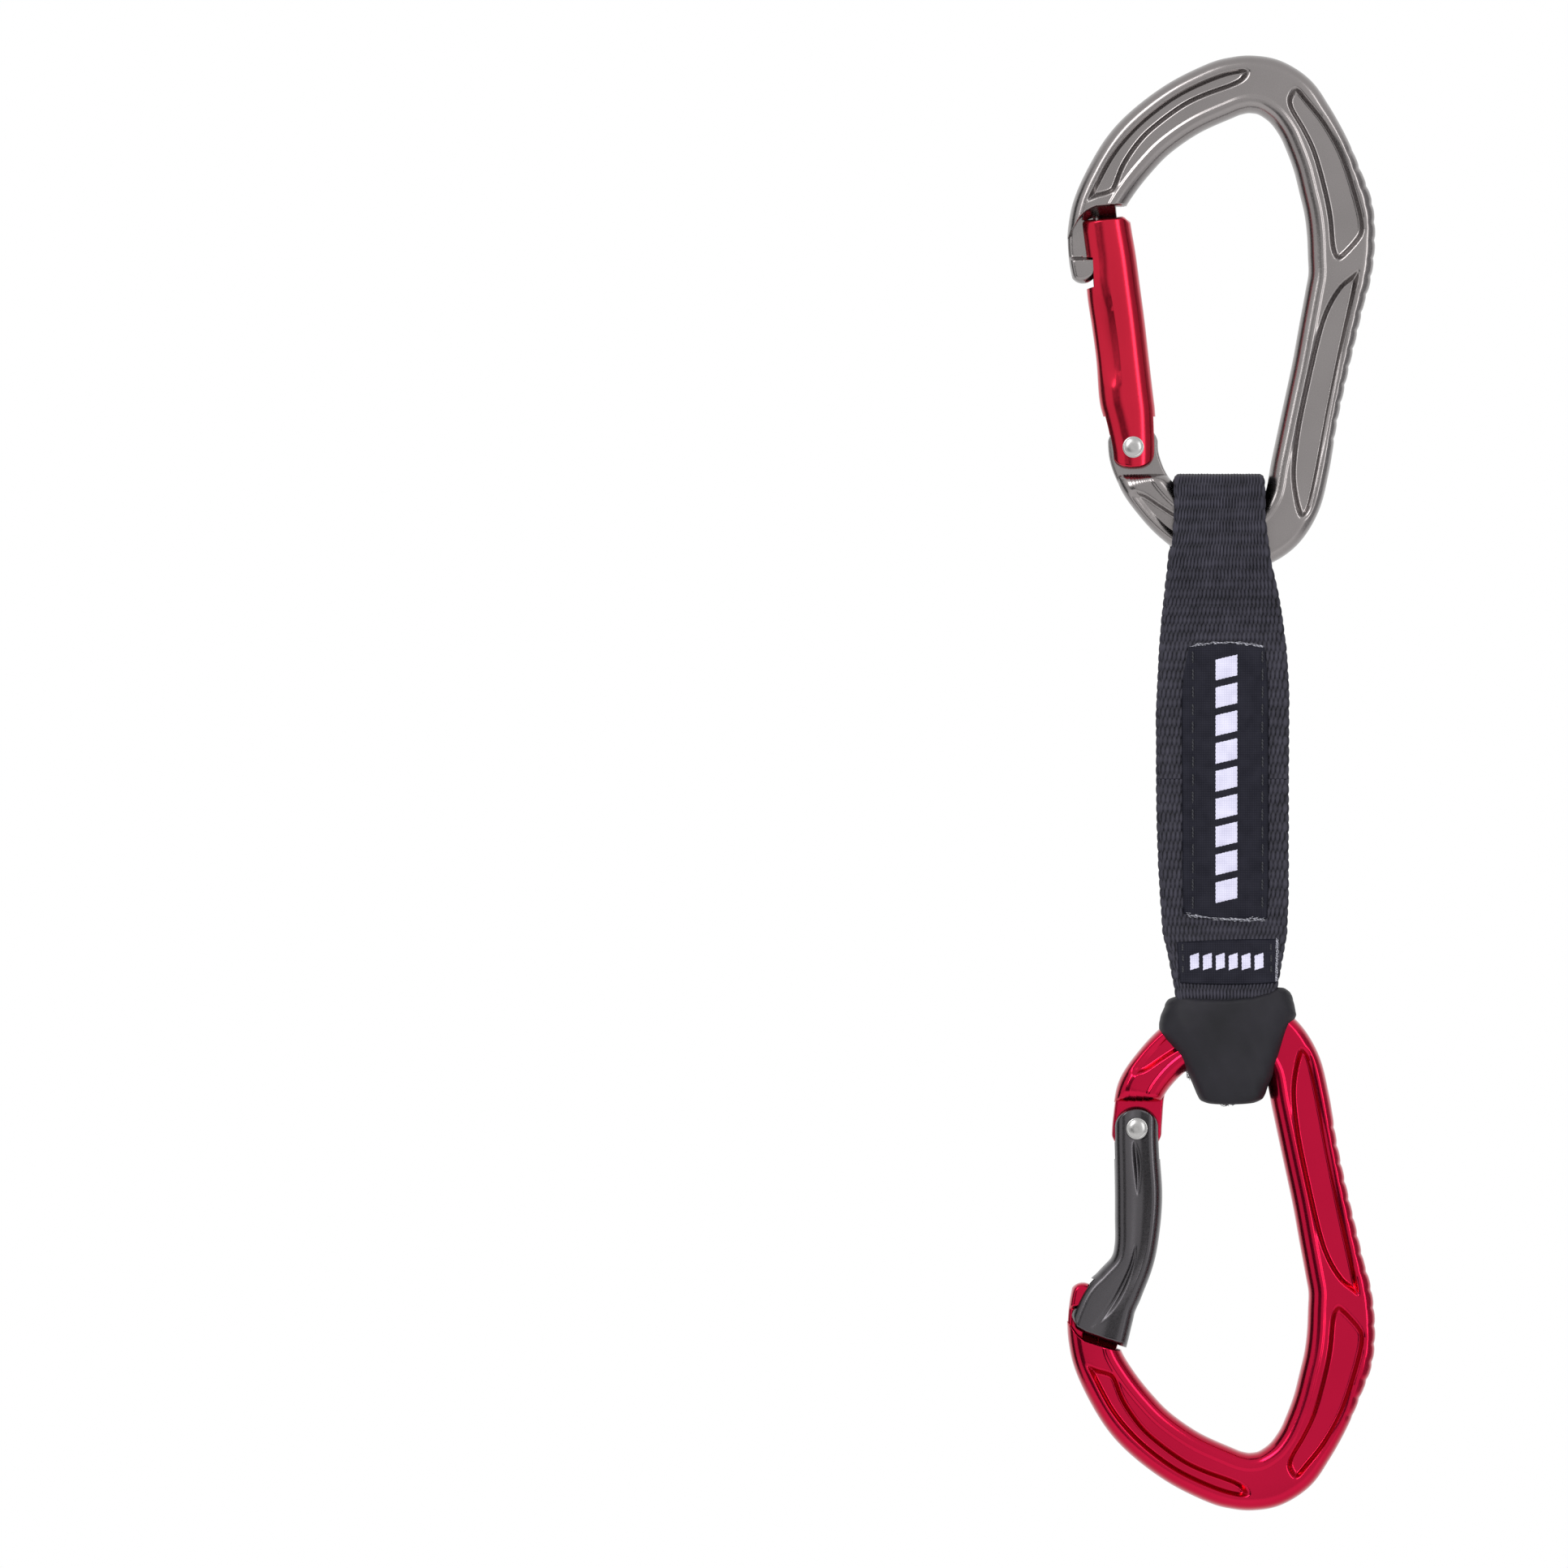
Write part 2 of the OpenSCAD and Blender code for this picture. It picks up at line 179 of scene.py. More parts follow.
sharp_edge = math.radians(38)


def new_piece(name, verts_mm, faces, material, smooth=True, rib=None):
    """A mesh object from points in millimetres, with doubles merged and faces turned out.

    rib is how high each point stands in a weave, which its yarn material reads to paint darker shade into
    the crevices between ribs.
    """
    mesh = bpy.data.meshes.new(name)
    mesh.from_pydata((np.asarray(verts_mm) * mm).tolist(), [], faces)
    if rib is not None:
        # The rib attribute drives painted shade in the yarn material: darker in the crevices between ribs.
        mesh.attributes.new("rib", "FLOAT", "POINT").data.foreach_set("value", rib)
    work = bmesh.new()
    work.from_mesh(mesh)
    bmesh.ops.remove_doubles(work, verts=work.verts, dist=1e-6)
    bmesh.ops.dissolve_degenerate(work, dist=1e-7, edges=work.edges)
    bmesh.ops.recalc_face_normals(work, faces=work.faces)
    for face in work.faces:
        face.smooth = smooth
    work.to_mesh(mesh)
    work.free()
    mesh.set_sharp_from_angle(angle=sharp_edge)
    mesh.materials.append(material)
    piece = bpy.data.objects.new(name, mesh)
    scene.collection.objects.link(piece)
    return piece


def grid_faces(rows, columns, first=0, flip=False):
    """Faces of a sheet of points, row by row from the first one."""
    k, j = np.meshgrid(np.arange(rows - 1), np.arange(columns - 1), indexing="ij")
    a = first + (k * columns + j).ravel()
    quads = np.stack([a, a + 1, a + columns + 1, a + columns], axis=1)
    return (quads[:, ::-1] if flip else quads).tolist()


def bar(
    line, half_depth, outer, inner, relief, start=None, end=None,
    tips=(1.0, 1.0), step=0.22, across=52, power=2.4, band=0.8, soften=3,
):
    """A forged bar that follows a middle line of [x, z, width] in millimetres.

    outer and inner are the roundings of its two edges. relief(x, z, out, inn, s)
    gives how far its face is pressed in. start and end are curves that cut it off,
    as functions of x and z that are positive on the kept side.
    """
    line = np.asarray(line, float)
    run = np.gradient(line[:, :2], axis=0)
    run /= np.linalg.norm(run, axis=1)[:, None]
    normal = np.stack([-run[:, 1], run[:, 0]], axis=1)
    length = np.concatenate([[0], np.cumsum(np.linalg.norm(np.diff(line[:, :2], axis=0), axis=1))])
    total = length[-1]

    edge_steps, band_steps, probes = 12, 8, 1600
    bend = np.radians(np.linspace(0, 90, edge_steps))
    out_share = 1 - np.cos(bend) ** (2 / power)
    rise = np.sin(bend) ** (2 / power)
    flat = np.linspace(0, 1, across)[1:]
    edge_band = np.linspace(1, 0, band_steps)[1:-1]
    kind = np.repeat([0, 1, 2, 3], [edge_steps, len(flat), len(edge_band), edge_steps])
    share = np.concatenate([out_share, flat, edge_band, out_share[::-1]])
    fullness = np.where(kind == 0, np.interp(share, out_share, rise), 1.0)
    fullness = np.where(kind == 3, np.interp(share, out_share, rise), fullness)

    def place(s):
        width = np.interp(s, length, line[:, 2])
        fit = np.minimum(1, 0.98 * width / (outer + inner + band))
        left, right, strip_width = outer * fit, inner * fit, band * fit
        out = np.select(
            [kind == 0, kind == 1, kind == 2],
            [
                left * share, left + (width - left - right - strip_width) * share,
                width - right - strip_width * share,
            ],
            width - right * share,
        )
        side = width / 2 - out
        x = np.interp(s, length, line[:, 0]) + side * np.interp(s, length, normal[:, 0])
        z = np.interp(s, length, line[:, 1]) + side * np.interp(s, length, normal[:, 1])
        return x, z, out, width - out

    columns = len(kind)
    first = np.zeros(columns)
    last = np.full(columns, total)
    probe = np.linspace(0, total, probes)[:, None] * np.ones(columns)
    probe_x, probe_z, _, _ = place(probe)
    if start is not None:
        kept = start(probe_x, probe_z) > 0
        first = probe[np.argmax(kept, axis=0), 0]
    if end is not None:
        kept = (end(probe_x, probe_z) > 0)[::-1]
        last = probe[::-1][np.argmax(kept, axis=0), 0]
    count = int(total / step)
    close = 1 - np.cos(bend)[:-1, None] * np.ones(columns)
    share_along = np.linspace(0, 1, count)[:, None]
    inner_run = (last - first)[None, :] - sum(tips)
    s = np.vstack([
        first + close * tips[0],
        first + tips[0] + inner_run * share_along,
        last - close[::-1] * tips[1],
    ])
    x, z, out, inn = place(s)
    near_end = np.minimum((s - first) / tips[0], (last - s) / tips[1])
    ending = (1 - (1 - np.clip(near_end, 0, 1)) ** power) ** (1 / power)
    depth = (half_depth(s / total) if callable(half_depth) else half_depth) * fullness * ending
    pressed = relief(x, z, out, inn, s)
    for _ in range(soften):
        blurred = pressed.copy()
        blurred[1:-1] = (pressed[:-2] + 2 * pressed[1:-1] + pressed[2:]) / 4
        pressed = blurred.copy()
        pressed[:, 1:-1] = (blurred[:, :-2] + 2 * blurred[:, 1:-1] + blurred[:, 2:]) / 4
    depth = np.maximum(depth - pressed * ending * fullness, 0)
    rows = s.shape[0]
    front = np.stack([x, -depth, z], axis=-1).reshape(-1, 3)
    back = np.stack([x, depth, z], axis=-1).reshape(-1, 3)
    faces = grid_faces(rows, columns) + grid_faces(rows, columns, rows * columns, flip=True)
    return np.vstack([front, back]), faces


forging_line = smooth_curve([
    (-30.6, -27, 8.9), (-29.9, -23, 9.9), (-29.1, -18.3, 9.7), (-26.5, -13.1, 10.3),
    (-22.7, -7.6, 11.1), (-18.4, -3.2, 11.2), (-12.2, 1.2, 11.4), (-5.5, 4.4, 11.6),
    (-2.0, 5.5, 11.3), (1.1, 5.75, 11.2), (4.6, 5.0, 11.3), (8.3, 2.5, 11.4),
    (11, -1.2, 11.2), (13, -5, 11.6),
    (14.8, -9.2, 12.1), (16.3, -13.7, 12.8), (17.7, -18.4, 13.4), (18.2, -22.9, 13.3),
    (18.2, -27.6, 12.9), (17.9, -31.6, 12.2), (17, -35.6, 11.7), (15.7, -41.8, 11.4),
    (14.1, -49.5, 11), (12.1, -58.8, 11), (10.3, -68.2, 11.4), (8.6, -75.4, 11), (4.9, -80.7, 10.8),
    (-1, -83, 11), (-8.2, -81.6, 10.9), (-13.6, -78.6, 9.8), (-17.6, -74.8, 9.2),
    (-20.6, -70.4, 9.2), (-21.3, -66, 9.4), (-21.6, -62, 9.4),
], 12)

left_pocket = smooth_curve([
    (-31.2, -17.0), (-30.3, -14.6), (-26.9, -8.2), (-23.1, -3.4), (-18.6, 0.7), (-13.2, 4.4),
    (-6.4, 7.5), (-1.6, 8.8), (0.2, 8.3), (-0.4, 6.5), (-2.6, 5.1), (-8.3, 3.0), (-12.5, 0.9),
    (-17.4, -2.7), (-20.6, -5.8), (-23.6, -10.2), (-25.4, -14.6), (-26.6, -15.7), (-29.0, -16.4),
], 6, closed=True)
upper_pocket = smooth_curve([
    (9.5, 5.2), (7.7, 3.3), (7.9, 0.8), (10.2, -3.2), (12.3, -7.6), (14.2, -14.2), (15.4, -20.0),
    (16.0, -26.0), (17.0, -28.3), (18.5, -28.2), (22.0, -24.4), (22.7, -21.8), (21.7, -16.8),
    (18.9, -8.2), (15.6, -2.0), (12.2, 2.4),
], 6, closed=True)
lower_pocket = smooth_curve([
    (21.4, -30.3), (20.2, -31.1), (17.6, -33.3), (15.1, -37.4), (13.3, -42.6), (10.9, -53.0),
    (9.1, -62.0), (8.3, -70.0), (9.2, -76.4), (10.5, -78.6), (12.2, -77.0), (13.4, -72.4),
    (14.6, -66.4), (16.5, -56.4), (18.7, -45.6), (20.6, -37.0), (21.7, -31.6),
], 6, closed=True)
shoulder_pocket = smooth_curve([
    (-23.0, -73.4), (-20.2, -73.4), (-16.6, -75.7), (-13.2, -77.8), (-8.6, -79.7), (-5.2, -80.6),
    (-5.4, -83.8), (-10.0, -83.9), (-14.6, -82.4), (-18.6, -79.3), (-21.4, -76.2),
], 6, closed=True)
pockets = (
    (left_pocket, 1.5), (upper_pocket, 1.5), (lower_pocket, 1.5), (shoulder_pocket, 1.2),
)
pocket_wall = 1.15
flange_step, flange_inner, flange_outer = 0.30, 2.85, 3.5
flange_fades, flange_gone = 178, 190
face_crown = 0.25
notch_pitch, notch_depth = 3.5, 0.24
notch_top, notch_foot = (5, 9), (62, 67)
body_half_depth, waist_thinner = 5.0, 0.5
outer_rounding, inner_rounding = 2.3, 2.8


def forging_relief(x, z, out, inn, s):
    """Pockets, the raised flange along the bearing edge, and a soft crown."""
    pressed = np.zeros(x.shape)
    for outline, depth in pockets:
        near = (
            (x > outline[:, 0].min() - 1) & (x < outline[:, 0].max() + 1)
            & (z > outline[:, 1].min() - 1) & (z < outline[:, 1].max() + 1)
        )
        sunk = np.zeros(x.shape)
        sunk[near] = depth * ramp(inside(x[near], z[near], outline), 0, pocket_wall)
        pressed = np.maximum(pressed, sunk)
    flange = flange_step * ramp(inn, flange_inner, flange_outer) * (1 - ramp(s, flange_fades, flange_gone))
    crown = face_crown * ((out - inn) / (out + inn)) ** 2
    return pressed + flange + crown


def kept_above(points):
    """Positive above a line of [x, z] points, which cuts off the end of a bar."""
    points = np.asarray(points, float)
    return lambda x, z: z - np.interp(x, points[:, 0], points[:, 1])


def notch_spine(verts):
    """Presses shallow grip notches into the back of the spine, one every few millimetres."""
    x, y, z = verts.T
    line = forging_line
    spine = line[(line[:, 0] > 5) & (line[:, 1] > -70) & (line[:, 1] < -2)]
    order = np.argsort(spine[:, 1])
    middle_x = np.interp(z, spine[order, 1], spine[order, 0])
    half_width = np.interp(z, spine[order, 1], spine[order, 2]) / 2
    beyond = ramp((x - middle_x) / half_width, 0.72, 0.98)
    in_run = ramp(-z, *notch_top) * (1 - ramp(-z, *notch_foot)) * (x > 5)
    wave = (1 - np.abs(np.sin(math.pi * z / notch_pitch))) ** 1.6
    moved = verts.copy()
    moved[:, 0] -= notch_depth * wave * beyond * in_run
    return moved


def forging(start_line, pivot_z):
    """The whole ring from its nose end to its shoulder, a little thinner at the spine."""
    shoulder = pivot_z - 5.0

    def half_depth(share):
        return body_half_depth - waist_thinner * ramp(share, 0.38, 0.5) * (1 - ramp(share, 0.62, 0.74))

    verts, faces = bar(
        forging_line, half_depth, outer_rounding, inner_rounding, forging_relief,
        start=kept_above(start_line),
        end=lambda x, z: np.where(x < -10, shoulder - z, 1.0),
        tips=(0.9, 2.6),
    )
    return notch_spine(verts), faces


def joined(*shells):
    """Several closed shells as one list of points and faces."""
    points, faces, count = [], [], 0
    for verts, shell_faces in shells:
        points.append(verts)
        faces += [[i + count for i in face] for face in shell_faces]
        count += len(verts)
    return np.vstack(points), faces


tongue_press, key_press, groove_depth = 2.4, 0.7, 0.35
key_z = -28.3


def nose(rim_width):
    """Keylock nose: a thin tongue behind a rim, with a wider key across its end."""
    line = smooth_curve([
        (-30.7, -15.5, 4.4), (-31.1, -17.5, 4.9), (-31.5, -21, 6.0), (-31.7, -24.2, 6.3),
        (-31.6, -28.2, 6.0), (-31.4, -30.6, 5.6), (-31.2, -32.4, 5.2), (-31.2, -33.4, 5.0),
    ], 12)

    def relief(x, z, inn, out, s):
        tongue = ramp(inn, -1, 0) * ramp(out, rim_width, rim_width + 0.35) * ramp(z, key_z, key_z + 0.3)
        groove = ramp(-abs(z - key_z + 0.05), -0.35, -0.05)
        return tongue_press * tongue + key_press * ramp(-z, -key_z, 0.3 - key_z) + groove_depth * groove

    return bar(
        line[::-1], 4.0, 1.0, 0.9, relief, tips=(1.6, 1.0), step=0.2, across=30, band=0.3,
        start=lambda x, z: np.where(z > -30.3, 1.0, 2.6 - np.hypot(x + 31.9, z + 30.3)),
        end=lambda x, z: np.where(x > -31.6, -19.6 - z, 1.0),
    )


def end_web(line, end_face):
    """A thin web between nose and inner corner, which slopes in and dips into the gate's slot."""
    face = np.asarray(end_face, float)

    def relief(x, z, out, inn, s):
        below = np.interp(x, face[:, 0], face[:, 1]) - z
        return np.interp(below, (-0.7, 1.5, 3.0), (0, 2.95, 3.9))

    return bar(smooth_curve(line, 8), 4.4, 0.1, 0.1, relief, tips=(0.3, 0.3), across=24, soften=0)


def tang(pivot):
    """Flat tongue that the gate's fork straddles, with a round end and the rivet through it."""
    rivet_x, rivet_z = pivot
    line = smooth_curve([
        (-15.8, -77.0, 7.0), (-17.8, -74.6, 8.6), (-20.4, -70.6, 9.2), (rivet_x + 0.2, rivet_z - 1.5, 9.6),
        (rivet_x, rivet_z + 3, 9.7), (rivet_x, rivet_z + 6, 9.7),
    ], 10)
    return bar(
        line, 1.9, 0.5, 0.5, lambda x, z, out, inn, s: 0 * x, tips=(0.5, 0.5), across=24,
        end=lambda x, z: np.where(z < rivet_z, 1.0, 5.0 - np.hypot(x - rivet_x, z - rivet_z)),
    )


top_pivot = (-22.2, -64.7)
top_start = [
    (-40, -30), (-34.6, -24.0), (-33.6, -22.2), (-32.6, -20.6), (-31.4, -19.4), (-29.6, -18.5),
    (-27, -18.2), (-24, -18.0), (-20, -17.4),
]


def new_finish(name):
    """A new procedural material, with its shader and the piece's own coordinates."""
    material = bpy.data.materials.new(name)
    material.use_nodes = True
    place = material.node_tree.nodes.new("ShaderNodeTexCoord")
    return material, material.node_tree.nodes["Principled BSDF"], place.outputs["Object"]


def feed(node, inputs):
    """Sets a node's inputs to values, or links each one that is given another node's output."""
    for socket, value in inputs.items():
        if isinstance(value, bpy.types.NodeSocket):
            node.id_data.links.new(value, node.inputs[socket])
        else:
            node.inputs[socket].default_value = value


def add_node(material, kind, inputs, output, **settings):
    """A new node of a material, made with its settings and inputs; gives back one output."""
    node = material.node_tree.nodes.new("ShaderNode" + kind)
    for setting, value in settings.items():
        setattr(node, setting, value)
    feed(node, inputs)
    return node.outputs[output]


def noise(material, place, scale, detail):
    """Soft random mottling, finer as its scale rises."""
    return add_node(material, "TexNoise", {"Vector": place, "Scale": scale, "Detail": detail}, "Fac")


def ranged(material, value, low, high):
    """A value moved into the range from low to high."""
    return add_node(material, "MapRange", {"Value": value, "To Min": low, "To Max": high}, "Result")


def bump(material, height, strength, distance):
    """Fine relief in a surface, from a height that varies over it."""
    inputs = {"Height": height, "Strength": strength, "Distance": distance}
    return add_node(material, "Bump", inputs, "Normal")


def two_tones(material, value, dark, light, low=0.0, high=1.0):
    """A colour that runs from dark to light as a value rises from low to high."""
    colour = add_node(material, "ValToRGB", {"Fac": value}, "Color")
    stops = colour.node.color_ramp.elements
    stops[0].position, stops[1].position = low, high
    stops[0].color, stops[1].color = (*dark, 1), (*light, 1)
    return colour


def metal(name, colour, roughness, grain, speckle):
    """Tumbled or anodised aluminium: uneven sheen, a faint orange-peel and fine scuffs."""
    material, shader, place = new_finish(name)
    broad = noise(material, place, 60.0, 3.0)
    fine = noise(material, place, grain, 4.0)
    dark = [c * (1 - speckle) for c in colour]
    light = [min(1, c * (1 + speckle)) for c in colour]
    feed(shader, {
        "Metallic": 1.0,
        "Base Color": two_tones(material, broad, dark, light, 0.3, 0.7),
        "Roughness": ranged(material, fine, roughness * 0.8, roughness * 1.25),
        "Normal": bump(material, fine, 0.05, 0.00002),
    })
    return material


gunmetal = metal("tumbled_aluminium", (0.25, 0.232, 0.23), 0.25, 2600.0, 0.06)
top_web = [(-32.0, -18.9, 3.6), (-30.0, -19.1, 3.6), (-27.8, -18.9, 3.7), (-25.4, -18.7, 3.7)]
verts, faces = joined(
    forging(top_start, top_pivot[1]), nose(0.9), end_web(top_web, top_start), tang(top_pivot),
)
top_body = new_piece("upper_carabiner_body", verts, faces, gunmetal)
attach(top_body, "top_carabiner")
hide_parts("top_body")

# ---- Upper carabiner's gate ----
# Straight bar of aluminium, drilled for its spring, slotted for the nose and forked for
# the tang, with a thumb scoop milled down its outer side, then anodised red.


def slot_cutter(corners, depth):
    """A prism through the gate from a closed outline of [x, z] points in millimetres."""
    count = len(corners)
    verts = [(x, y * depth, z) for y in (-1, 1) for x, z in corners]
    sides = [(i, (i + 1) % count, (i + 1) % count + count, i + count) for i in range(count)]
    faces = [list(range(count))[::-1], list(range(count, 2 * count))] + [list(f) for f in sides]
    return verts, faces


def cut(piece, cutters):
    """Mills slots out of a piece, and leaves no modifier or cutter behind."""
    for verts, faces in cutters:
        tool = new_piece("cutter", verts, faces, piece.data.materials[0], smooth=False)
        mill = piece.modifiers.new("mill", "BOOLEAN")
        mill.operation = "DIFFERENCE"
        mill.solver = "EXACT"
        mill.object = tool
        done = bpy.data.meshes.new_from_object(piece.evaluated_get(bpy.context.evaluated_depsgraph_get()))
        piece.modifiers.remove(mill)
        piece.data = done
        bpy.data.objects.remove(tool)
    piece.data.set_sharp_from_angle(angle=sharp_edge)


def kept_below(points):
    """Positive below a line of [x, z] points, which cuts off the end of a bar."""
    points = np.asarray(points, float)
    return lambda x, z: np.interp(x, points[:, 0], points[:, 1]) - z


def round_end(pivot, radius, squareness=2.0):
    """Keeps a bar down to a half round below its rivet; squareness above 2 fills its corners."""

    def kept(x, z):
        reach = np.abs(x - pivot[0]) ** squareness + np.abs(z - pivot[1]) ** squareness
        return np.where(z > pivot[1], 1.0, radius - reach ** (1 / squareness))

    return kept


gate_half_depth = 4.6
clear_x = -40
fork_roof = 6
tongue_slot_half, key_slot_half, fork_slot_half = 1.8, 3.5, 2.2


def nose_slots(web_floor):
    """The gate's keyhole: a narrow slot for tongue and web, and a wider one for the key."""
    return [
        slot_cutter([
            (clear_x, -28.4), (-27.5, -28.4), (-27.5, web_floor), (-24.9, web_floor), (-24.9, -10),
            (clear_x, -10),
        ], tongue_slot_half),
        slot_cutter([(clear_x, -36.6), (-27.5, -32.9), (-27.5, -27.9), (clear_x, -27.9)], key_slot_half),
    ]


def fork_slot(pivot, roof):
    """Parts the gate's lower end into a fork that straddles the tang."""
    left, right, low, high = pivot[0] - 9, pivot[0] + 9, pivot[1] - 9, pivot[1] + roof
    return slot_cutter([(left, low), (right, low), (right, high), (left, high)], fork_slot_half)


top_scoop = smooth_curve([
    (-29.3, -32.0), (-27.8, -35.6), (-26.5, -38.6), (-25.6, -42.0), (-25.2, -46.2), (-25.3, -50.9),
    (-26.2, -53.1), (-27.4, -52.6), (-28.6, -49.4), (-29.4, -45.2), (-29.9, -40.7), (-30.1, -36.0),
], 6, closed=True)
top_scoop_slope, top_scoop_wall = 0.40, 1.4
top_gate_line = smooth_curve([
    (-21.8, -71, 8.2), (-22.0, -68, 8.5), (-22.1, -64.7, 8.9), (-22.6, -60.3, 9.7),
    (-23.0, -57.6, 10.2), (-23.55, -54.4, 10.5), (-24.2, -47.5, 10.2), (-25.0, -40.9, 10.3),
    (-25.9, -34.5, 10.4), (-26.5, -28.1, 9.9), (-27.15, -23.7, 9.7), (-27.6, -20.4, 9.6),
    (-28.1, -16.5, 9.6),
], 10)


def top_gate_relief(x, z, out, inn, s):
    """Thumb scoop: a long shallow facet down the outer side, with a crisp edge."""
    return top_scoop_slope * np.clip(inside(x, z, top_scoop), 0, top_scoop_wall)


red_gate_finish = metal("red_anodised_satin", (0.52, 0.018, 0.042), 0.22, 2600.0, 0.04)
verts, faces = bar(
    top_gate_line, gate_half_depth, 4.5, 4.3, top_gate_relief,
    start=round_end(top_pivot, 4.3, 2.7),
    end=kept_below([
        (clear_x, -23), (-32.6, -21.6), (-31.9, -20.6), (-24.1, -19.8), (-22.9, -20.8), (-18, -24),
    ]),
    tips=(0.7, 0.7), step=0.25, across=40, power=2.15, band=0.2,
)
top_gate = new_piece("upper_gate", verts, faces, red_gate_finish)
cut(top_gate, [
    slot_cutter([(clear_x, -33.4), (-31.4, -33.4), (-30.8, -32.6), (-31.0, -28.0), (clear_x, -28.0)], 9),
    *nose_slots(-22.0), fork_slot(top_pivot, fork_roof),
])
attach(top_gate, "top_gate")
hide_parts("top_gate")

# ---- Lower carabiner's body ----
# The same forging turned upside down and anodised a glossy red. Its rivet sits a
# little nearer the bow, and its nose has a narrower rim to suit the bent gate.
bottom_pivot = (-21.5, -62.8)
seat_to_seat = 259.6
bottom_start = [
    (-40, -30), (-34.2, -24.8), (-33.2, -23.4), (-31.8, -22.2), (-24.9, -20.0), (-20, -18.4),
]
red_body_finish = metal("red_anodised_gloss", (0.46, 0.008, 0.040), 0.19, 2600.0, 0.04)
bottom_web = [(-32.4, -22.2, 2.8), (-30.0, -21.4, 2.9), (-27.6, -20.8, 3.0), (-25.3, -20.2, 3.2)]


def turned_over(verts):
    """Points of the lower carabiner from those of the forging's own frame."""
    moved = np.array(verts)
    moved[:, 2] = -seat_to_seat - moved[:, 2]
    return moved


verts, faces = joined(
    forging(bottom_start, bottom_pivot[1]), nose(0.55), end_web(bottom_web, bottom_start),
    tang(bottom_pivot),
)
bottom_body = new_piece("lower_carabiner_body", turned_over(verts), faces, red_body_finish)
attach(bottom_body, "bottom_carabiner")
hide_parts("bottom_body")

# ---- Lower carabiner's gate ----
# Bent bar of aluminium, so that the rope rolls in over its dished outer face. It is
# milled with narrow scoops and anodised dark grey.
bottom_gate_line = smooth_curve([
    (-30.3, -19.0, 12.4), (-29.2, -22.6, 12.3), (-27.3, -28.4, 11.5), (-24.9, -32.2, 9.9),
    (-22.6, -36.1, 8.3), (-21.6, -40.0, 8.3), (-21.2, -45.6, 9.0), (-21.1, -50.6, 9.2),
    (-21.35, -56.6, 8.9), (-21.5, -61.0, 8.8), (-21.5, -66.0, 8.8), (-21.5, -70.0, 8.8),
], 10)
bottom_lens = smooth_curve([
    (-21.7, -40.6), (-23.1, -36.2), (-25.7, -31.0), (-28.4, -26.6), (-30.4, -24.2),
    (-28.6, -25.0), (-25.6, -28.4), (-23.3, -32.6), (-21.8, -37.2),
], 6, closed=True)
rivet_lens = smooth_curve([
    (-22.3, -59.6), (-21.5, -59.8), (-20.7, -55.4), (-21.2, -49.6), (-22.0, -54.6),
], 8, closed=True)
scoop_slope = 0.9
dish_depth, dish_middle, dish_reach = 0.45, 0.45, 0.3


def bottom_gate_relief(x, z, out, inn, s):
    """Two narrow scoops with crisp edges, and a soft hollow down the middle of the face."""
    scoops = sum(
        np.minimum(depth, scoop_slope * np.maximum(inside(x, z, lens), 0))
        for lens, depth in ((bottom_lens, 0.8), (rivet_lens, 0.6))
    )
    off_middle = (out / (out + inn) - dish_middle) / dish_reach
    return scoops + dish_depth * np.cos(np.clip(off_middle, -1, 1) * math.pi / 2) ** 2


grey_finish = metal("grey_anodised_satin", (0.085, 0.08, 0.086), 0.28, 2600.0, 0.04)
verts, faces = bar(
    bottom_gate_line, gate_half_depth, 2.2, 2.2, bottom_gate_relief,
    start=kept_below([
        (clear_x, -30), (-34.4, -26.8), (-33.3, -23.9), (-31.5, -22.8), (-27.8, -21.5), (-20, -19.2),
    ]),
    end=round_end(bottom_pivot, 4.4),
    tips=(1.0, 1.0), step=0.25, across=40, power=2.3, band=0.4,
)
bottom_gate = new_piece("lower_gate", verts, faces, grey_finish)
cut(bottom_gate, [*nose_slots(-23.2), fork_slot(bottom_pivot, fork_roof)])
milled = np.array([vertex.co for vertex in bottom_gate.data.vertices]) / mm
bottom_gate.data.vertices.foreach_set("co", (turned_over(milled) * mm).ravel())
bottom_gate.data.flip_normals()
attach(bottom_gate, "bottom_gate")
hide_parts("bottom_gate")

# ---- Gate rivets ----
# Solid stainless pins set through fork and tang. Each end is peened over into a low
# button with a turned rim, and the set tool leaves a faint dimple in it.


def ring_faces(rows, around, capped=True):
    """Faces between rows of points that each run once round, with flat ends if capped."""
    row = np.arange(rows - 1)[:, None] * around
    here = np.arange(around)[None, :]
    after = (here + 1) % around
    quads = np.stack([row + here, row + after, row + around + after, row + around + here], axis=-1)
    faces = quads.reshape(-1, 4).tolist()
    if capped:
        faces += [list(range(around))[::-1], [(rows - 1) * around + j for j in range(around)]]
    return faces


def rivet(name, pivot, body, node, material):
    """A pin turned from a profile of [radius, depth], the same at its front and back."""
    profile = [
        (1.5, 0.0), (1.5, 4.62), (2.02, 4.66), (2.08, 4.78), (2.06, 4.90), (1.96, 4.98),
        (1.80, 5.00), (1.74, 4.97), (1.66, 5.02), (1.40, 5.18), (1.00, 5.31), (0.60, 5.37),
        (0.30, 5.36), (0.0, 5.34),
    ]
    turns = 64
    rows = [(r, -y) for r, y in reversed(profile)] + list(profile)
    angles = np.linspace(0, 2 * math.pi, turns, endpoint=False)
    verts = [
        (pivot[0] + r * math.cos(a), y, pivot[1] + r * math.sin(a)) for r, y in rows for a in angles
    ]
    piece = new_piece(name, verts, ring_faces(len(rows), turns, capped=False), material)
    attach(piece, body)
    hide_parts(node)


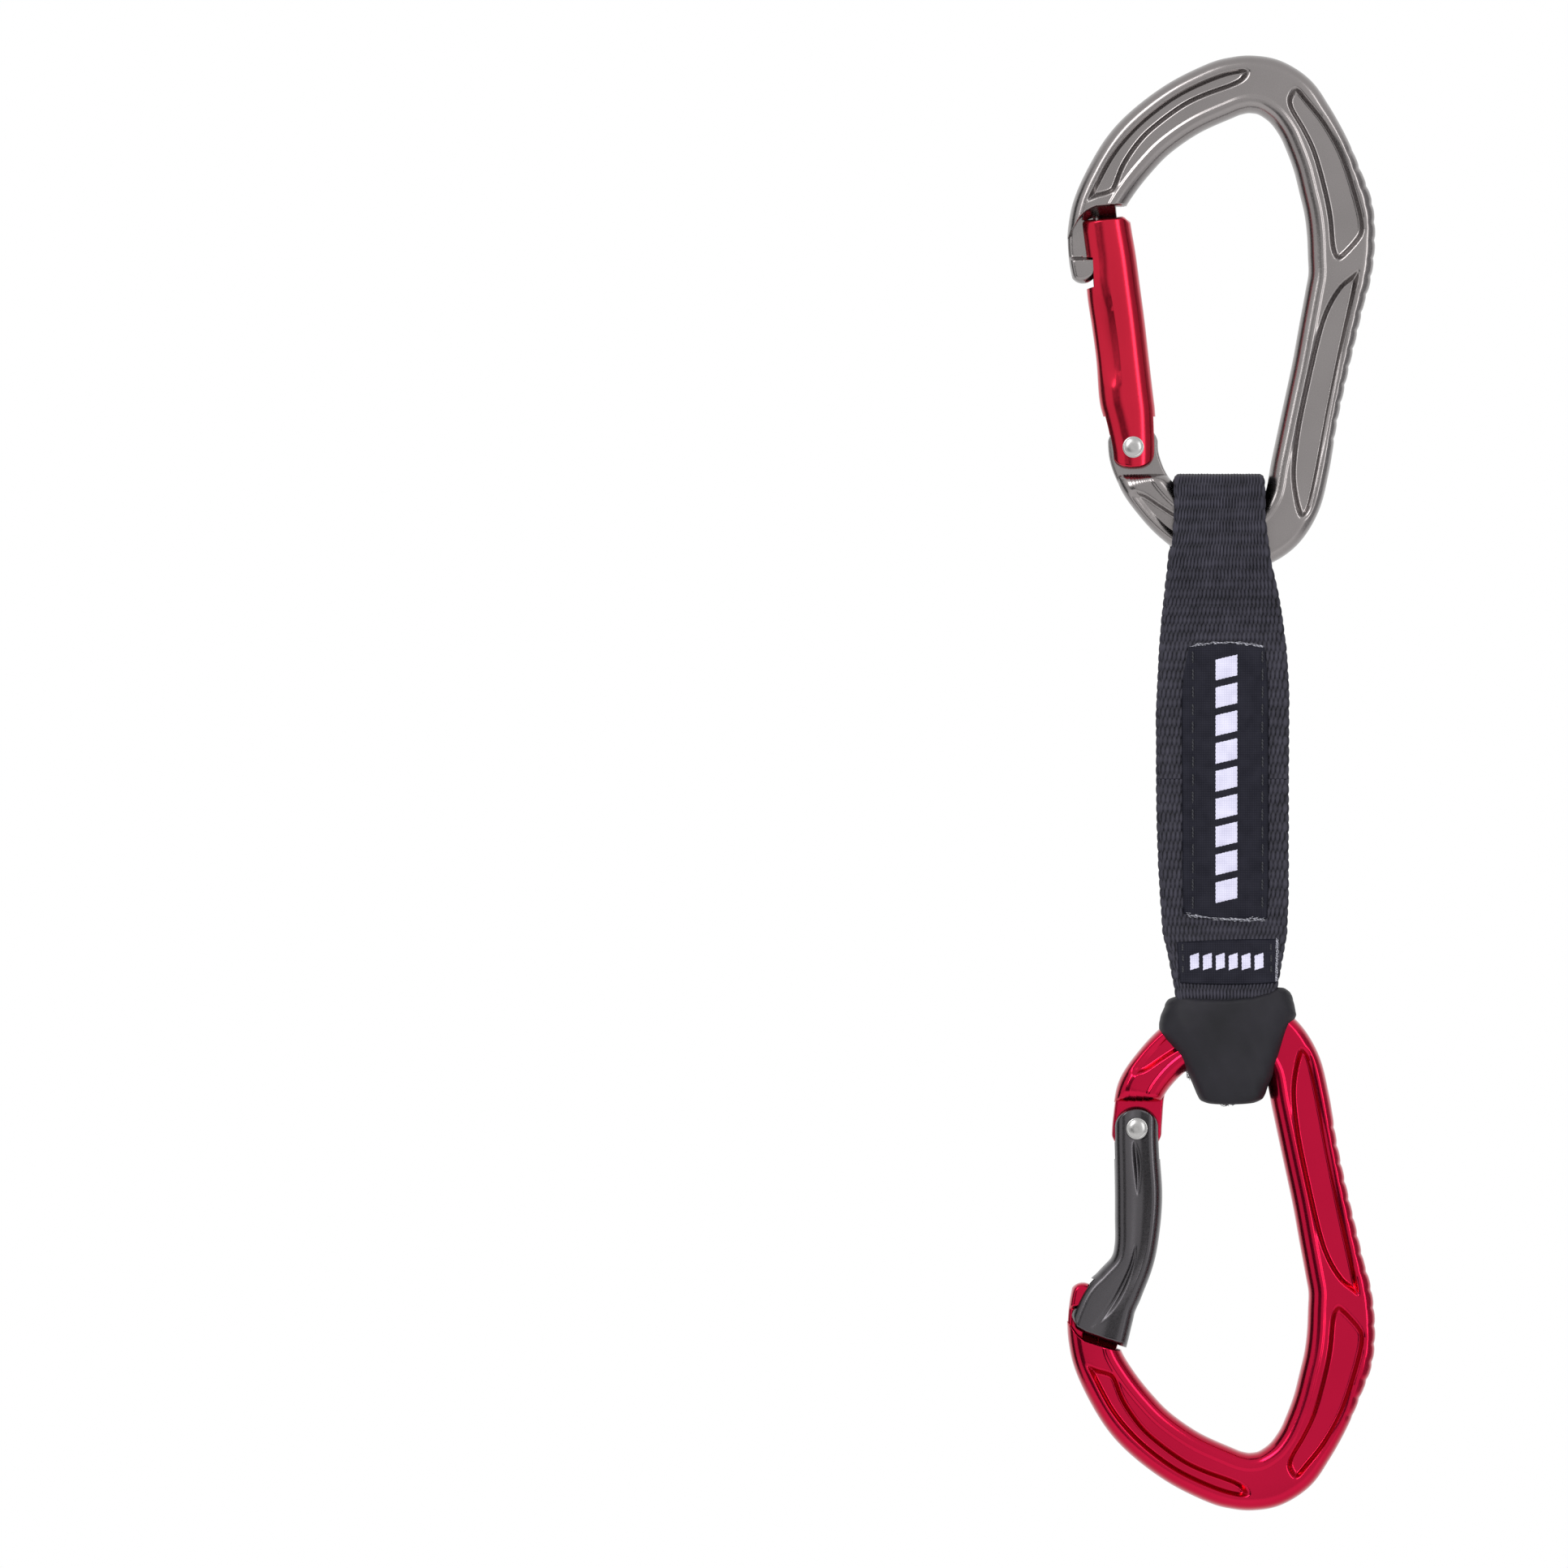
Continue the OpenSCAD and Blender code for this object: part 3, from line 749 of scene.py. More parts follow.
rivet_steel = metal("rivet_steel", (0.40, 0.395, 0.39), 0.32, 1800.0, 0.06)
rivet("upper_gate_rivet", top_pivot, "top_carabiner", "top_gate_rivet", rivet_steel)
rivet(
    "lower_gate_rivet", (bottom_pivot[0], -seat_to_seat - bottom_pivot[1]),
    "bottom_carabiner", "bottom_gate_rivet", rivet_steel,
)

# ---- Sling ----
# One strip of nylon webbing, woven wider in its middle, that runs round both carabiners
# and is sewn to itself between them. Its warp shows as rows of small plump ribs.
sling_left = [
    (-69.0, -13.0), (-69.9, -13.3), (-70.6, -13.8), (-71.7, -14.1), (-76.2, -14.0), (-82.3, -14.3),
    (-85, -14.8), (-88.4, -15.2), (-93.8, -15.8), (-97.6, -16.3), (-103.9, -16.8), (-116.5, -17.4),
    (-135.4, -17.3), (-147, -16.9), (-159, -16.1), (-163.7, -14.9), (-170, -13.7), (-176, -12.7),
    (-181, -11.5), (-184, -10.4), (-190, -8.8),
]
sling_right = [
    (-69.0, 2.0), (-69.9, 2.3), (-70.6, 2.8), (-71.7, 3.0), (-78.8, 3.1), (-83.3, 3.7), (-87.6, 4.3),
    (-90.6, 5.1), (-94.3, 5.9), (-97.6, 6.5), (-103.9, 7.3), (-111.7, 7.8), (-135.4, 7.7), (-151, 7.7),
    (-159, 7.4), (-163.7, 6.5), (-170, 5.3), (-177, 4.9), (-181, 4.3), (-184, 3.4), (-190, 2.2),
]
sling_middle = -4.6
webbing_thick = 1.9
warp_ribs = 27
rib_rise = 0.42
weft_pitch, edge_ribs = 1.83, 1.2
fold_top, fold_bottom = -70.75, -188.75
ply_depth, eye_depth = 1.0, 6.4


def sling_route():
    """Middle of the strip as [y, z] up its front, over the top, down its back and round."""

    def parting(height, low, high):
        return -ply_depth - (eye_depth - ply_depth) * ramp(height, low, high)

    front = [(-129, -ply_depth), (-115, -ply_depth)]
    front += [(z, parting(z, -101.5, -84.5)) for z in range(-104, -81, 2)]
    front += [(-77, -eye_depth), (-73.2, -eye_depth), (-71.7, -6.05), (-70.95, -5.1)]
    front += [(fold_top, -3.8), (fold_top, -1.9)]
    bottom = [(fold_bottom, -1.9), (fold_bottom, -3.8), (-188.5, -5.1), (-187.8, -6.05)]
    bottom += [(-186.3, -eye_depth), (-181, -eye_depth)]
    bottom += [(z, parting(-z, 156.5, 172.5)) for z in range(-175, -153, 2)]
    bottom += [(-143, -ply_depth)]
    back = [(z, -y) for z, y in reversed(front)]
    under = [(z, -y) for z, y in reversed(bottom)]
    route = smooth_curve([(y, z) for z, y in front + back[1:] + under + bottom[1:] + front[:1]], 24)
    keep = np.concatenate([[True], np.linalg.norm(np.diff(route, axis=0), axis=1) > 1e-6])
    return route[keep]


route = sling_route()
route_length = np.concatenate([[0], np.cumsum(np.linalg.norm(np.diff(route, axis=0), axis=1))])


def rows_along(length):
    """How many weft rows lie before each place along the strip; they are longer at the eyes."""
    fine = np.linspace(0, route_length[-1], 4000)
    height = np.interp(fine, route_length, route[:, 1])
    pitch = weft_pitch + 0.50 * ramp(height, -97, -82) + 0.30 * ramp(-height, 160, 176)
    count = np.concatenate([[0], np.cumsum(np.diff(fine) / pitch[1:])])
    return np.interp(length, fine, count)


def weave(across, row):
    """Height of the ribs, 0 to 1: bricks of plump ovals, each row half a rib over."""
    high = np.zeros(np.broadcast(across, row).shape)
    nearest = np.round(row)
    for step in (-1, 0, 1):
        line = nearest + step
        shift = 0.5 * np.mod(line, 2)
        rib = np.round(across - shift) + shift
        seed = np.sin(rib * 12.9898 + line * 78.233) * 43758.5453
        odd = seed - np.floor(seed)
        lean = (row - line) * (0.10 + 0.10 * odd)
        reach = ((across - rib - lean) / 0.50) ** 2 + ((row - line) / (0.60 + 0.06 * odd)) ** 2
        high = np.maximum(high, np.sqrt(np.clip(1 - reach, 0, 1)) * (0.86 + 0.14 * odd))
    return high


def sling_part(name, first, last, material, step=0.27, per_rib=7):
    """The strip between two places along its route, closed, with its weave raised on it."""
    count = max(4, int((last - first) / step))
    along = np.linspace(first, last, count)
    y = np.interp(along, route_length, route[:, 0])
    z = np.interp(along, route_length, route[:, 1])
    ty = np.gradient(route[:, 0], route_length)
    tz = np.gradient(route[:, 1], route_length)
    ty, tz = np.interp(along, route_length, ty), np.interp(along, route_length, tz)
    size = np.hypot(ty, tz)
    ny, nz = -tz / size, ty / size
    left = np.interp(-z, [-q[0] for q in sling_left], [q[1] for q in sling_left])
    right = np.interp(-z, [-q[0] for q in sling_right], [q[1] for q in sling_right])
    half = webbing_thick / 2 - rib_rise
    flat = np.linspace(0, 1, warp_ribs * per_rib)
    turn = np.radians(np.linspace(90, -90, 14))[1:-1]
    rim, under = len(turn), 16
    share = np.concatenate([flat, np.ones(rim), np.linspace(1, 0, under), np.zeros(rim)])
    bulge = np.concatenate([np.zeros(len(flat)), np.cos(turn), np.zeros(under), -np.cos(turn)])
    lift = np.concatenate([np.ones(len(flat)), np.sin(turn), -np.ones(under), -np.sin(turn)])
    rib = np.concatenate([
        flat * warp_ribs, warp_ribs + edge_ribs * (1 - np.sin(turn)), np.zeros(under),
        -edge_ribs * (1 + np.sin(turn))[::-1],
    ])
    raised = np.concatenate([np.ones(len(flat) + rim), np.zeros(under), np.ones(rim)])
    width = (right - left)[:, None] - 2 * half
    high = rib_rise * weave(rib[None, :], rows_along(along)[:, None]) * raised
    x = left[:, None] + half + width * share + bulge * (half + high)
    rise = lift * (half + np.where(bulge == 0, high, high * np.abs(lift)))
    points = np.stack([x, y[:, None] + ny[:, None] * rise, z[:, None] + nz[:, None] * rise], axis=-1)
    faces = ring_faces(count, points.shape[1])
    # The weave height goes to the yarn material as painted shade in the crevices between ribs.
    piece = new_piece(name, points.reshape(-1, 3), faces, material, rib=(high / rib_rise).ravel())
    piece.data.set_sharp_from_angle(angle=math.radians(180))
    for face in piece.data.polygons:
        face.use_smooth = len(face.vertices) == 4
    return piece


def woven_nylon(name, dark, light, sheen):
    """Dyed nylon yarn: fine filaments along each rib, tiny random colour changes, painted shade that
    darkens the crevices between ribs, and a soft sheen.
    """
    material, shader, place = new_finish(name)
    scale = (9000.0, 9000.0, 900.0)
    filaments = noise(
        material, add_node(material, "Mapping", {"Vector": place, "Scale": scale}, "Vector"), 1.0, 3.0,
    )
    blotch = noise(material, place, 420.0, 2.0)
    both = add_node(material, "Math", {0: filaments, 1: blotch}, "Value", operation="ADD")
    # Painted shade: the weave height lightens the yarn on its rib crests and darkens it in the crevices
    # between them.
    painted_shade_rib_height = add_node(material, "Attribute", {}, "Fac", attribute_name="rib")
    lift = add_node(material, "Math", {0: painted_shade_rib_height, 1: 0.9, 2: both}, "Value", operation="MULTIPLY_ADD")
    tone = add_node(material, "MapRange", {"Value": lift, "From Min": 0.95, "From Max": 2.1}, "Result")
    feed(shader, {
        "Roughness": 0.62, "Specular IOR Level": 0.2, "Sheen Weight": sheen, "Sheen Roughness": 0.4,
        "Base Color": two_tones(material, tone, dark, light),
        "Normal": bump(material, filaments, 0.35, 0.00006),
    })
    return material


# The dark tone is painted shade in the crevices between ribs, mixed with random yarn tone.
webbing = woven_nylon("webbing_nylon", (0.0025, 0.0025, 0.005), (0.040, 0.038, 0.054), 0.04)


def along_at(height, side):
    """Place along the route at a height on the front (side -1) or back (side 1) ply."""
    ply = np.sign(route[:, 0]) == side
    return float(route_length[ply][np.argmin(np.abs(route[ply, 1] - height))])


upper_eye_end, ply_join, lower_eye_end = -95, -129, -168
upper_throat, lower_throat = (-95.5, -101), (-156.5, -161)
whole = route_length[-1]
front_top, back_top = along_at(upper_eye_end, -1), along_at(upper_eye_end, 1)
front_foot, back_foot = along_at(lower_eye_end, -1), along_at(lower_eye_end, 1)
back_join = along_at(ply_join, 1)
for name, first, last, bodies, (start, end), node in (
    ("sling_upper_eye", front_top, back_top, ("top_carabiner", "upper_eye"), (-71, -93), "webbing_top_eye"),
    ("sling_front_upper", 0, front_top, ("upper_eye", "sling"), upper_throat, "webbing_front_ply"),
    ("sling_back_upper", back_top, back_join, ("upper_eye", "sling"), upper_throat, "webbing_back_ply"),
    ("sling_front_lower", front_foot, whole, ("sling", "lower_eye"), lower_throat, "webbing_front_ply"),
    ("sling_back_lower", back_join, back_foot, ("sling", "lower_eye"), lower_throat, "webbing_back_ply"),
):
    stretch = sling_part(name, first, last, webbing)
    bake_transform(stretch)
    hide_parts(node)
bottom_loop = sling_part("sling_lower_eye", back_foot, front_foot, webbing)
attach(bottom_loop, "lower_eye")
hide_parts("webbing_bottom_eye")

# ---- Bar tacks ----
# Dense zigzag rows of bonded thread that sew the two plies together. The long label
# covers them in front, so they show on the back of the sling.


def tube(path, radius, sides=6):
    """A thread along a path of [x, y, z] points, with closed ends, as points and faces."""
    path = np.asarray(path, float)
    run = np.gradient(path, axis=0)
    run /= np.linalg.norm(run, axis=1)[:, None] + 1e-12
    across = np.cross(run, (0.31, 0.87, 0.38))
    across /= np.linalg.norm(across, axis=1)[:, None] + 1e-12
    other = np.cross(run, across)
    turn = np.linspace(0, 2 * math.pi, sides, endpoint=False)
    width = np.full(len(path), radius)
    width[[0, -1]] *= 0.3
    rings = path[:, None, :] + width[:, None, None] * (
        np.cos(turn)[None, :, None] * across[:, None, :] + np.sin(turn)[None, :, None] * other[:, None, :]
    )
    return rings.reshape(-1, 3), ring_faces(len(path), sides)


def thread_finish(name, dark, light):
    """Bonded polyester thread: a fine twist along it and a slight waxy gloss."""
    material, shader, place = new_finish(name)
    inputs = {"Vector": place, "Scale": 900.0, "Distortion": 2.0}
    twist = add_node(material, "TexWave", inputs, "Fac", bands_direction="DIAGONAL")
    feed(shader, {
        "Roughness": 0.5, "Specular IOR Level": 0.2,
        "Base Color": two_tones(material, twist, dark, light),
        "Normal": bump(material, twist, 0.4, 0.00005),
    })
    return material


tack_thread = thread_finish("bonded_thread_grey", (0.030, 0.030, 0.038), (0.085, 0.083, 0.100))
tack_left, tack_right, tack_height, tack_stitch = -12.0, 3.0, 1.9, 0.42
tack_rows = [-106.6, -118.1, -129.6, -141.1, -152.6]
back_face = ply_depth + webbing_thick / 2
tacks = []
count = int((tack_right - tack_left) / tack_stitch)
for row in tack_rows:
    path = []
    for i in range(count + 1):
        x = tack_left + i * tack_stitch
        z = row + tack_height / 2 * (1 if i % 2 else -1)
        path += [(x, back_face - 0.12, z), (x + tack_stitch / 2, back_face + 0.16, row)]
    tacks.append(tube(smooth_curve(path, 3), 0.17))
tack_piece = new_piece("sling_bar_tacks_visual", *joined(*tacks), tack_thread)
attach(tack_piece, "sling")
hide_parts("sling_bar_tacks")

# ---- Long label ----
# A woven damask label, cut from a roll so that its two ends fray, laid over the bar
# tacks and sewn down both sides. Pale slanted blocks are woven into its middle.


def ply_face(z):
    """Depth of the front ply's outer face at a height, in millimetres."""
    front = (route[:, 0] < -0.9) & (route[:, 1] < -72)
    order = np.argsort(route[front, 1])
    heights, depths = route[front, 1][order], route[front, 0][order]
    slope = np.gradient(depths, heights + 1e-6 * np.arange(len(heights)))
    return np.interp(z, heights, depths) - webbing_thick / 2 * np.interp(z, heights, np.hypot(1, slope))


def between(points):
    """A function that runs straight through [at, value] points, in rising order."""
    at, value = zip(*points)
    return lambda q: np.interp(q, at, value)


def cloth_patch(name, left, right, top, bottom, thick, pucker, material, sink=0.12, cell=0.22):
    """A thin woven patch on the front ply, its four edges given as functions of x or z."""
    high, low = float(top(sling_middle)), float(bottom(sling_middle))
    rows = int((high - low) / cell)
    columns = int((right(high) - left(high)) / cell)
    v, u = np.meshgrid(np.linspace(0, 1, rows), np.linspace(0, 1, columns), indexing="ij")
    z = low + (high - low) * v
    x = left(z) + (right(z) - left(z)) * u
    z = bottom(x) + (top(x) - bottom(x)) * v
    edge = np.minimum(
        np.minimum(x - left(z), right(z) - x), np.minimum(z - bottom(x), top(x) - z)
    )
    near_edge = np.clip(edge / (thick * 0.8), 0, 1)
    border = np.sqrt(near_edge * (2 - near_edge))
    base = ply_face(z)
    face = base + sink - (thick + sink) * border - pucker(x, z) * ramp(edge, 0, 0.8)
    front = np.stack([x, face, z], axis=-1).reshape(-1, 3)
    back = np.stack([x, base + 2 * sink, z], axis=-1).reshape(-1, 3)
    count = rows * columns
    rim = [i * columns for i in range(rows)] + [(rows - 1) * columns + j for j in range(1, columns)]
    rim += [i * columns + columns - 1 for i in range(rows - 2, -1, -1)] + list(range(columns - 2, 0, -1))
    faces = grid_faces(rows, columns) + grid_faces(rows, columns, count, flip=True)
    faces += [[a, b, b + count, a + count] for a, b in zip(rim, rim[1:] + rim[:1])]
    return new_piece(name, np.vstack([front, back]), faces, material)


def damask(name, ground, lit):
    """Label cloth: very fine close yarns both ways, a satin gloss and faint creases."""
    material, shader, place = new_finish(name)
    inputs = {"Vector": place, "Scale": 700.0, "Distortion": 0.6}
    warp, weft = (
        add_node(material, "TexWave", inputs, "Fac", bands_direction=way) for way in ("X", "Z")
    )
    crossing = add_node(material, "Math", {0: warp, 1: weft}, "Value", operation="MULTIPLY")
    cloud = noise(material, place, 350.0, 5.0)
    mixed = add_node(material, "Math", {0: crossing, 1: 0.5, 2: cloud}, "Value", operation="MULTIPLY_ADD")
    feed(shader, {
        "Specular IOR Level": 0.1,
        "Base Color": two_tones(material, mixed, ground, lit, 0.35, 0.95),
        "Roughness": ranged(material, cloud, 0.55, 0.8),
        "Normal": bump(material, mixed, 0.5, 0.00005),
    })
    return material


label_black = damask("label_damask_black", (0.006, 0.006, 0.011), (0.016, 0.016, 0.024))
label_pale = damask("label_damask_pale", (0.44, 0.43, 0.56), (0.60, 0.59, 0.72))
label_thick = 0.42
long_left = between([
    (-157, -12.4), (-150, -12.6), (-113, -12.8), (-108, -12.4), (-103.4, -11.5), (-102, -11.3),
])
long_right = between([(-157, 3.8), (-150, 4.1), (-115, 4.1), (-108, 3.9), (-103.5, 3.3), (-102, 3.1)])
long_middle = -4.3
stitch_columns = (-10.6, 2.9)
stitch_pitch = 3.4
stitch_length = 2.4
first_stitch, last_stitch = -104.2, -155.4


def long_top(x):
    return -102.6 - 0.95 * ((x - long_middle) / 8) ** 2


def long_bottom(x):
    return -156.2 + 0.5 * ((x - 0.5 - long_middle) / 8) ** 2 - 0.05 * (x - long_middle)


def long_pucker(x, z):
    """Lies flat along its stitching, and swells a little between the stitches."""
    near = sum(np.exp(-(((x - column) / 0.45) ** 2)) for column in stitch_columns)
    along = 0.5 + 0.5 * np.cos(2 * math.pi * (z - first_stitch + stitch_length / 2) / stitch_pitch)
    swell = 0.10 * np.sin(z * 0.35 + x * 0.2) * np.sin(x * 0.45 + 1.0)
    return 0.12 + swell - near * (0.06 + 0.16 * along)


long_label = cloth_patch(
    "long_label_cloth", long_left, long_right, long_top, long_bottom, label_thick, long_pucker,
    label_black,
)
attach(long_label, "sling")
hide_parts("long_label")

block_left, block_right, block_slant = -6.2, -2.0, 1.0
block_height, block_gap, block_count = 4.0, 1.4, 9
first_block = -105.4


def slanted_block(left, right, top, height, slant, depth_at, grid=0.3):
    """One pale block as a thin raised patch that follows the cloth under it."""
    rows, columns = int(height / grid) + 2, int((right - left) / grid) + 2
    v, u = np.meshgrid(np.linspace(0, 1, rows), np.linspace(0, 1, columns), indexing="ij")
    x = left + (right - left) * u
    z = top - height * (1 - v) + slant * (u - 0.5) + 0.05 * np.sin(x * 9 + top)
    x = x + 0.05 * np.sin(z * 8)
    inset = np.minimum(np.minimum(u, 1 - u) * (right - left), np.minimum(v, 1 - v) * height)
    face = depth_at(x, z) - 0.09 * ramp(inset, -0.01, 0.12)
    front = np.stack([x, face, z], axis=-1).reshape(-1, 3)
    back = front + (0, 0.2, 0)
    return np.vstack([front, back]), (
        grid_faces(rows, columns) + grid_faces(rows, columns, rows * columns, flip=True)
    )


def long_label_face(x, z):
    return ply_face(z) - label_thick - long_pucker(x, z)


blocks = [
    slanted_block(
        block_left, block_right, first_block - i * (block_height + block_gap), block_height,
        block_slant, long_label_face,
    )
    for i in range(block_count)
]
long_blocks = new_piece("long_label_woven_blocks", *joined(*blocks), label_pale)
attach(long_blocks, "sling")

stitch_thread = thread_finish("label_thread_black", (0.010, 0.010, 0.014), (0.040, 0.040, 0.048))


def stitch(x, z, length, depth_at, radius=0.2):
    """One stitch: a short arc of thread that dives into the cloth at both ends."""
    share = np.linspace(0, 1, 9)
    run = z - length * share
    rise = 0.16 * np.sin(math.pi * share) ** 0.6 - 0.08
    return tube([(x + 0.03 * math.sin(7 * z), depth_at(x, q) - r, q) for q, r in zip(run, rise)], radius)


def column_of_stitches(x, first, last, pitch, length, depth_at):
    """Stitches down a label at one x, from the first height to the last."""
    return [
        stitch(x, first - i * pitch, length, depth_at)
        for i in range(int((first - last - length) / pitch) + 1)
    ]


long_stitches = [
    s for x in stitch_columns
    for s in column_of_stitches(
        x, first_stitch, last_stitch, stitch_pitch, stitch_length, long_label_face,
    )
]
long_stitch_piece = new_piece("long_label_seams", *joined(*long_stitches), stitch_thread)
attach(long_stitch_piece, "sling")
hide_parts("long_label_stitches")


def frayed(edge, count, seed, length=(0.5, 1.3), spread=0.10, radius=0.035):
    """Loose cut yarns along an edge, which is a line of [x, y, z] points."""
    edge = np.asarray(edge, float)
    rng = np.random.default_rng(seed)
    far = np.concatenate([[0], np.cumsum(np.linalg.norm(np.diff(edge, axis=0), axis=1))])
    fibres = []
    for _ in range(count):
        start = rng.uniform(0, far[-1])
        reach = rng.uniform(*length)
        steps = np.linspace(0, reach, 5)
        path = np.stack([np.interp(start + steps, far, edge[:, i]) for i in range(3)], axis=1)
        wander = rng.normal(0, spread, (1, 3)) + np.cumsum(rng.normal(0, spread / 3, (5, 3)), axis=0)
        wander[:, 1] = -np.abs(wander[:, 1]) * 0.6
        fibres.append(tube(path + wander, radius, 4))
    return fibres


def along_x(depth_at, edge, first, last):
    """A label's cut end as a line of points, a little inside its face."""
    xs = np.linspace(first, last, 40)
    return [(x, depth_at(x, edge(x)) + 0.15, edge(x)) for x in xs]


fray_pale = thread_finish("cut_yarn_pale", (0.16, 0.16, 0.19), (0.50, 0.50, 0.56))
fray = frayed(along_x(long_label_face, long_top, -11.2, 2.9), 90, 3)
fray += frayed(along_x(long_label_face, long_bottom, -12.1, 3.4), 130, 5, spread=0.14)
long_fray = new_piece("long_label_frayed_ends", *joined(*fray), fray_pale)
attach(long_fray, "sling")

# ---- Short label ----
# The same damask in a short piece across the lower eye, with its cut edge at the right.
# It lies on the slope where the plies part.
short_left = between([(-170, -13.1), (-168.6, -13.2), (-160.3, -13.8), (-159, -13.8)])
short_right = between([(-170, 5.3), (-168.8, 5.4), (-159.7, 5.7), (-158, 5.7)])
short_thick = 0.45


def short_top(x):
    return -160.15 + 0.035 * (x + 4) - 0.002 * (x + 4) ** 2


def short_bottom(x):
    return -168.9 + 0.004 * (x + 4) ** 2


def short_pucker(x, z):
    return 0.10 * np.sin((x + 14) * 0.45) * np.sin((z + 160) * 0.5) + 0.08


def short_label_face(x, z):
    return ply_face(z) - short_thick - short_pucker(x, z)


def bend_at_lower_throat(piece):
    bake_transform(piece)


short_label = cloth_patch(
    "short_label_cloth", short_left, short_right, short_top, short_bottom, short_thick,
    short_pucker, label_black,
)
bend_at_lower_throat(short_label)
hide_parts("short_label")
ticks = [
    slanted_block(x, x + 1.7, -163.0, 2.8, 0.55, short_label_face) for x in np.arange(-11.2, 2.0, 2.5)
]
short_blocks = new_piece("short_label_woven_blocks", *joined(*ticks), label_pale)
bend_at_lower_throat(short_blocks)

short_seams = [
    s for x in (-12.6, 4.5) for s in column_of_stitches(x, -161.0, -168.0, 2.1, 1.4, short_label_face)
]
short_seam_piece = new_piece("short_label_seams", *joined(*short_seams), stitch_thread)
bend_at_lower_throat(short_seam_piece)
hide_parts("short_label_stitches")

cut_edge = [
    (short_right(z) + 0.02, short_label_face(5.4, z) + 0.25, z) for z in np.linspace(-168.4, -160.2, 30)
]
short_fray = new_piece(
    "short_label_frayed_edge", *joined(*frayed(cut_edge, 150, 9, (0.4, 0.9), 0.12)), fray_pale,
)
bend_at_lower_throat(short_fray)

# ---- Rubber keeper ----
# Moulded from soft black rubber and stretched over the lower eye, where it holds the
# webbing tight against the rope-end carabiner.
keeper_left = between([
    (-192.3, -8.0), (-191.7, -9.2), (-190.2, -9.9), (-188.4, -10.6), (-185.8, -11.7), (-182.3, -13.5),
    (-180.4, -15.0), (-179.2, -16.0), (-177.9, -16.8), (-176.6, -17.1), (-175.2, -17.1), (-173.5, -16.8),
    (-172.2, -16.1), (-170.8, -15.0),
])
keeper_right = between([
    (-192.3, 1.8), (-191.6, 3.0), (-190.6, 3.5), (-188.9, 4.0), (-186.7, 5.0), (-184.5, 5.5),
    (-182.3, 6.3), (-179.4, 7.3), (-177, 8.3), (-175.4, 9.2), (-174.4, 9.5), (-172.6, 9.1), (-170.8, 8.3),
])
keeper_top = between([
    (-17, -172.6), (-15.2, -171.7), (-13.3, -171.2), (-9, -171.7), (-4, -171.8), (1, -171.3), (4.2, -170.4),
    (5.8, -169.5), (7.2, -169.6), (8.3, -170.3), (9.6, -171.6),
])
keeper_depth = between([
    (-192.3, 7.6), (-190.5, 8.3), (-187, 8.6), (-182, 8.75), (-177, 8.8), (-173, 8.6), (-170.8, 8.3),
])
keeper_bottom_z, keeper_shoulder_z = -192.1, -171.0
lip, foot = 1.1, 1.0
keeper_squareness = 3.4
around = 220


def squared(angle, power):
    """A point of a rounded rectangle that is two units across."""
    c, q = np.cos(angle), np.sin(angle)
    return np.sign(c) * np.abs(c) ** (2 / power), np.sign(q) * np.abs(q) ** (2 / power)


def keeper_rings():
    """Rings from inside the foot, up the wall, over the lip and a little way down inside."""
    ring_x, ring_y = squared(np.linspace(0, 2 * math.pi, around, endpoint=False), keeper_squareness)
    turns = np.radians(np.linspace(0, 90, 8))
    rings_at = [(0, foot * (1 - math.sin(t)), foot * math.cos(t), 0) for t in turns[:-1]]
    rings_at += [(share, 0, 0, 0) for share in np.linspace(0, 1, 60)]
    rings_at += [(1, lip * (1 - math.cos(t)), 0, lip * math.sin(t)) for t in turns[1:]]
    rings_at += [(1, lip + 0.15, 0, lip - 0.6), (1, lip + 0.2, 0, -1.5)]
    low, high = keeper_bottom_z + foot, keeper_shoulder_z - lip
    rings = []
    for share, inset, drop, rise in rings_at:
        level_z = low + (high - low) * share - drop
        left, right = keeper_left(level_z), keeper_right(level_z)
        x = (left + right) / 2 + ((right - left) / 2 - inset) * ring_x
        y = (keeper_depth(level_z) - inset) * ring_y
        z = level_z + ramp(share, 0.45, 1) * (keeper_top(x) - keeper_shoulder_z) + rise
        z = z + 0.010 * (1 - share) * (x + 4) ** 2 * (share < 0.3) * (0.3 - share) / 0.3
        rings.append(np.stack([x, y, z], axis=-1))
    points = np.array(rings)
    swell = 0.10 * np.sin(points[..., 0] * 0.55 + 0.8) * np.sin(points[..., 2] * 0.42)
    swell += 0.05 * np.sin(points[..., 0] * 1.7 + points[..., 2] * 0.9)
    points[..., 1] += np.sign(points[..., 1]) * swell * ramp(np.abs(points[..., 1]), 2, 6)
    return points


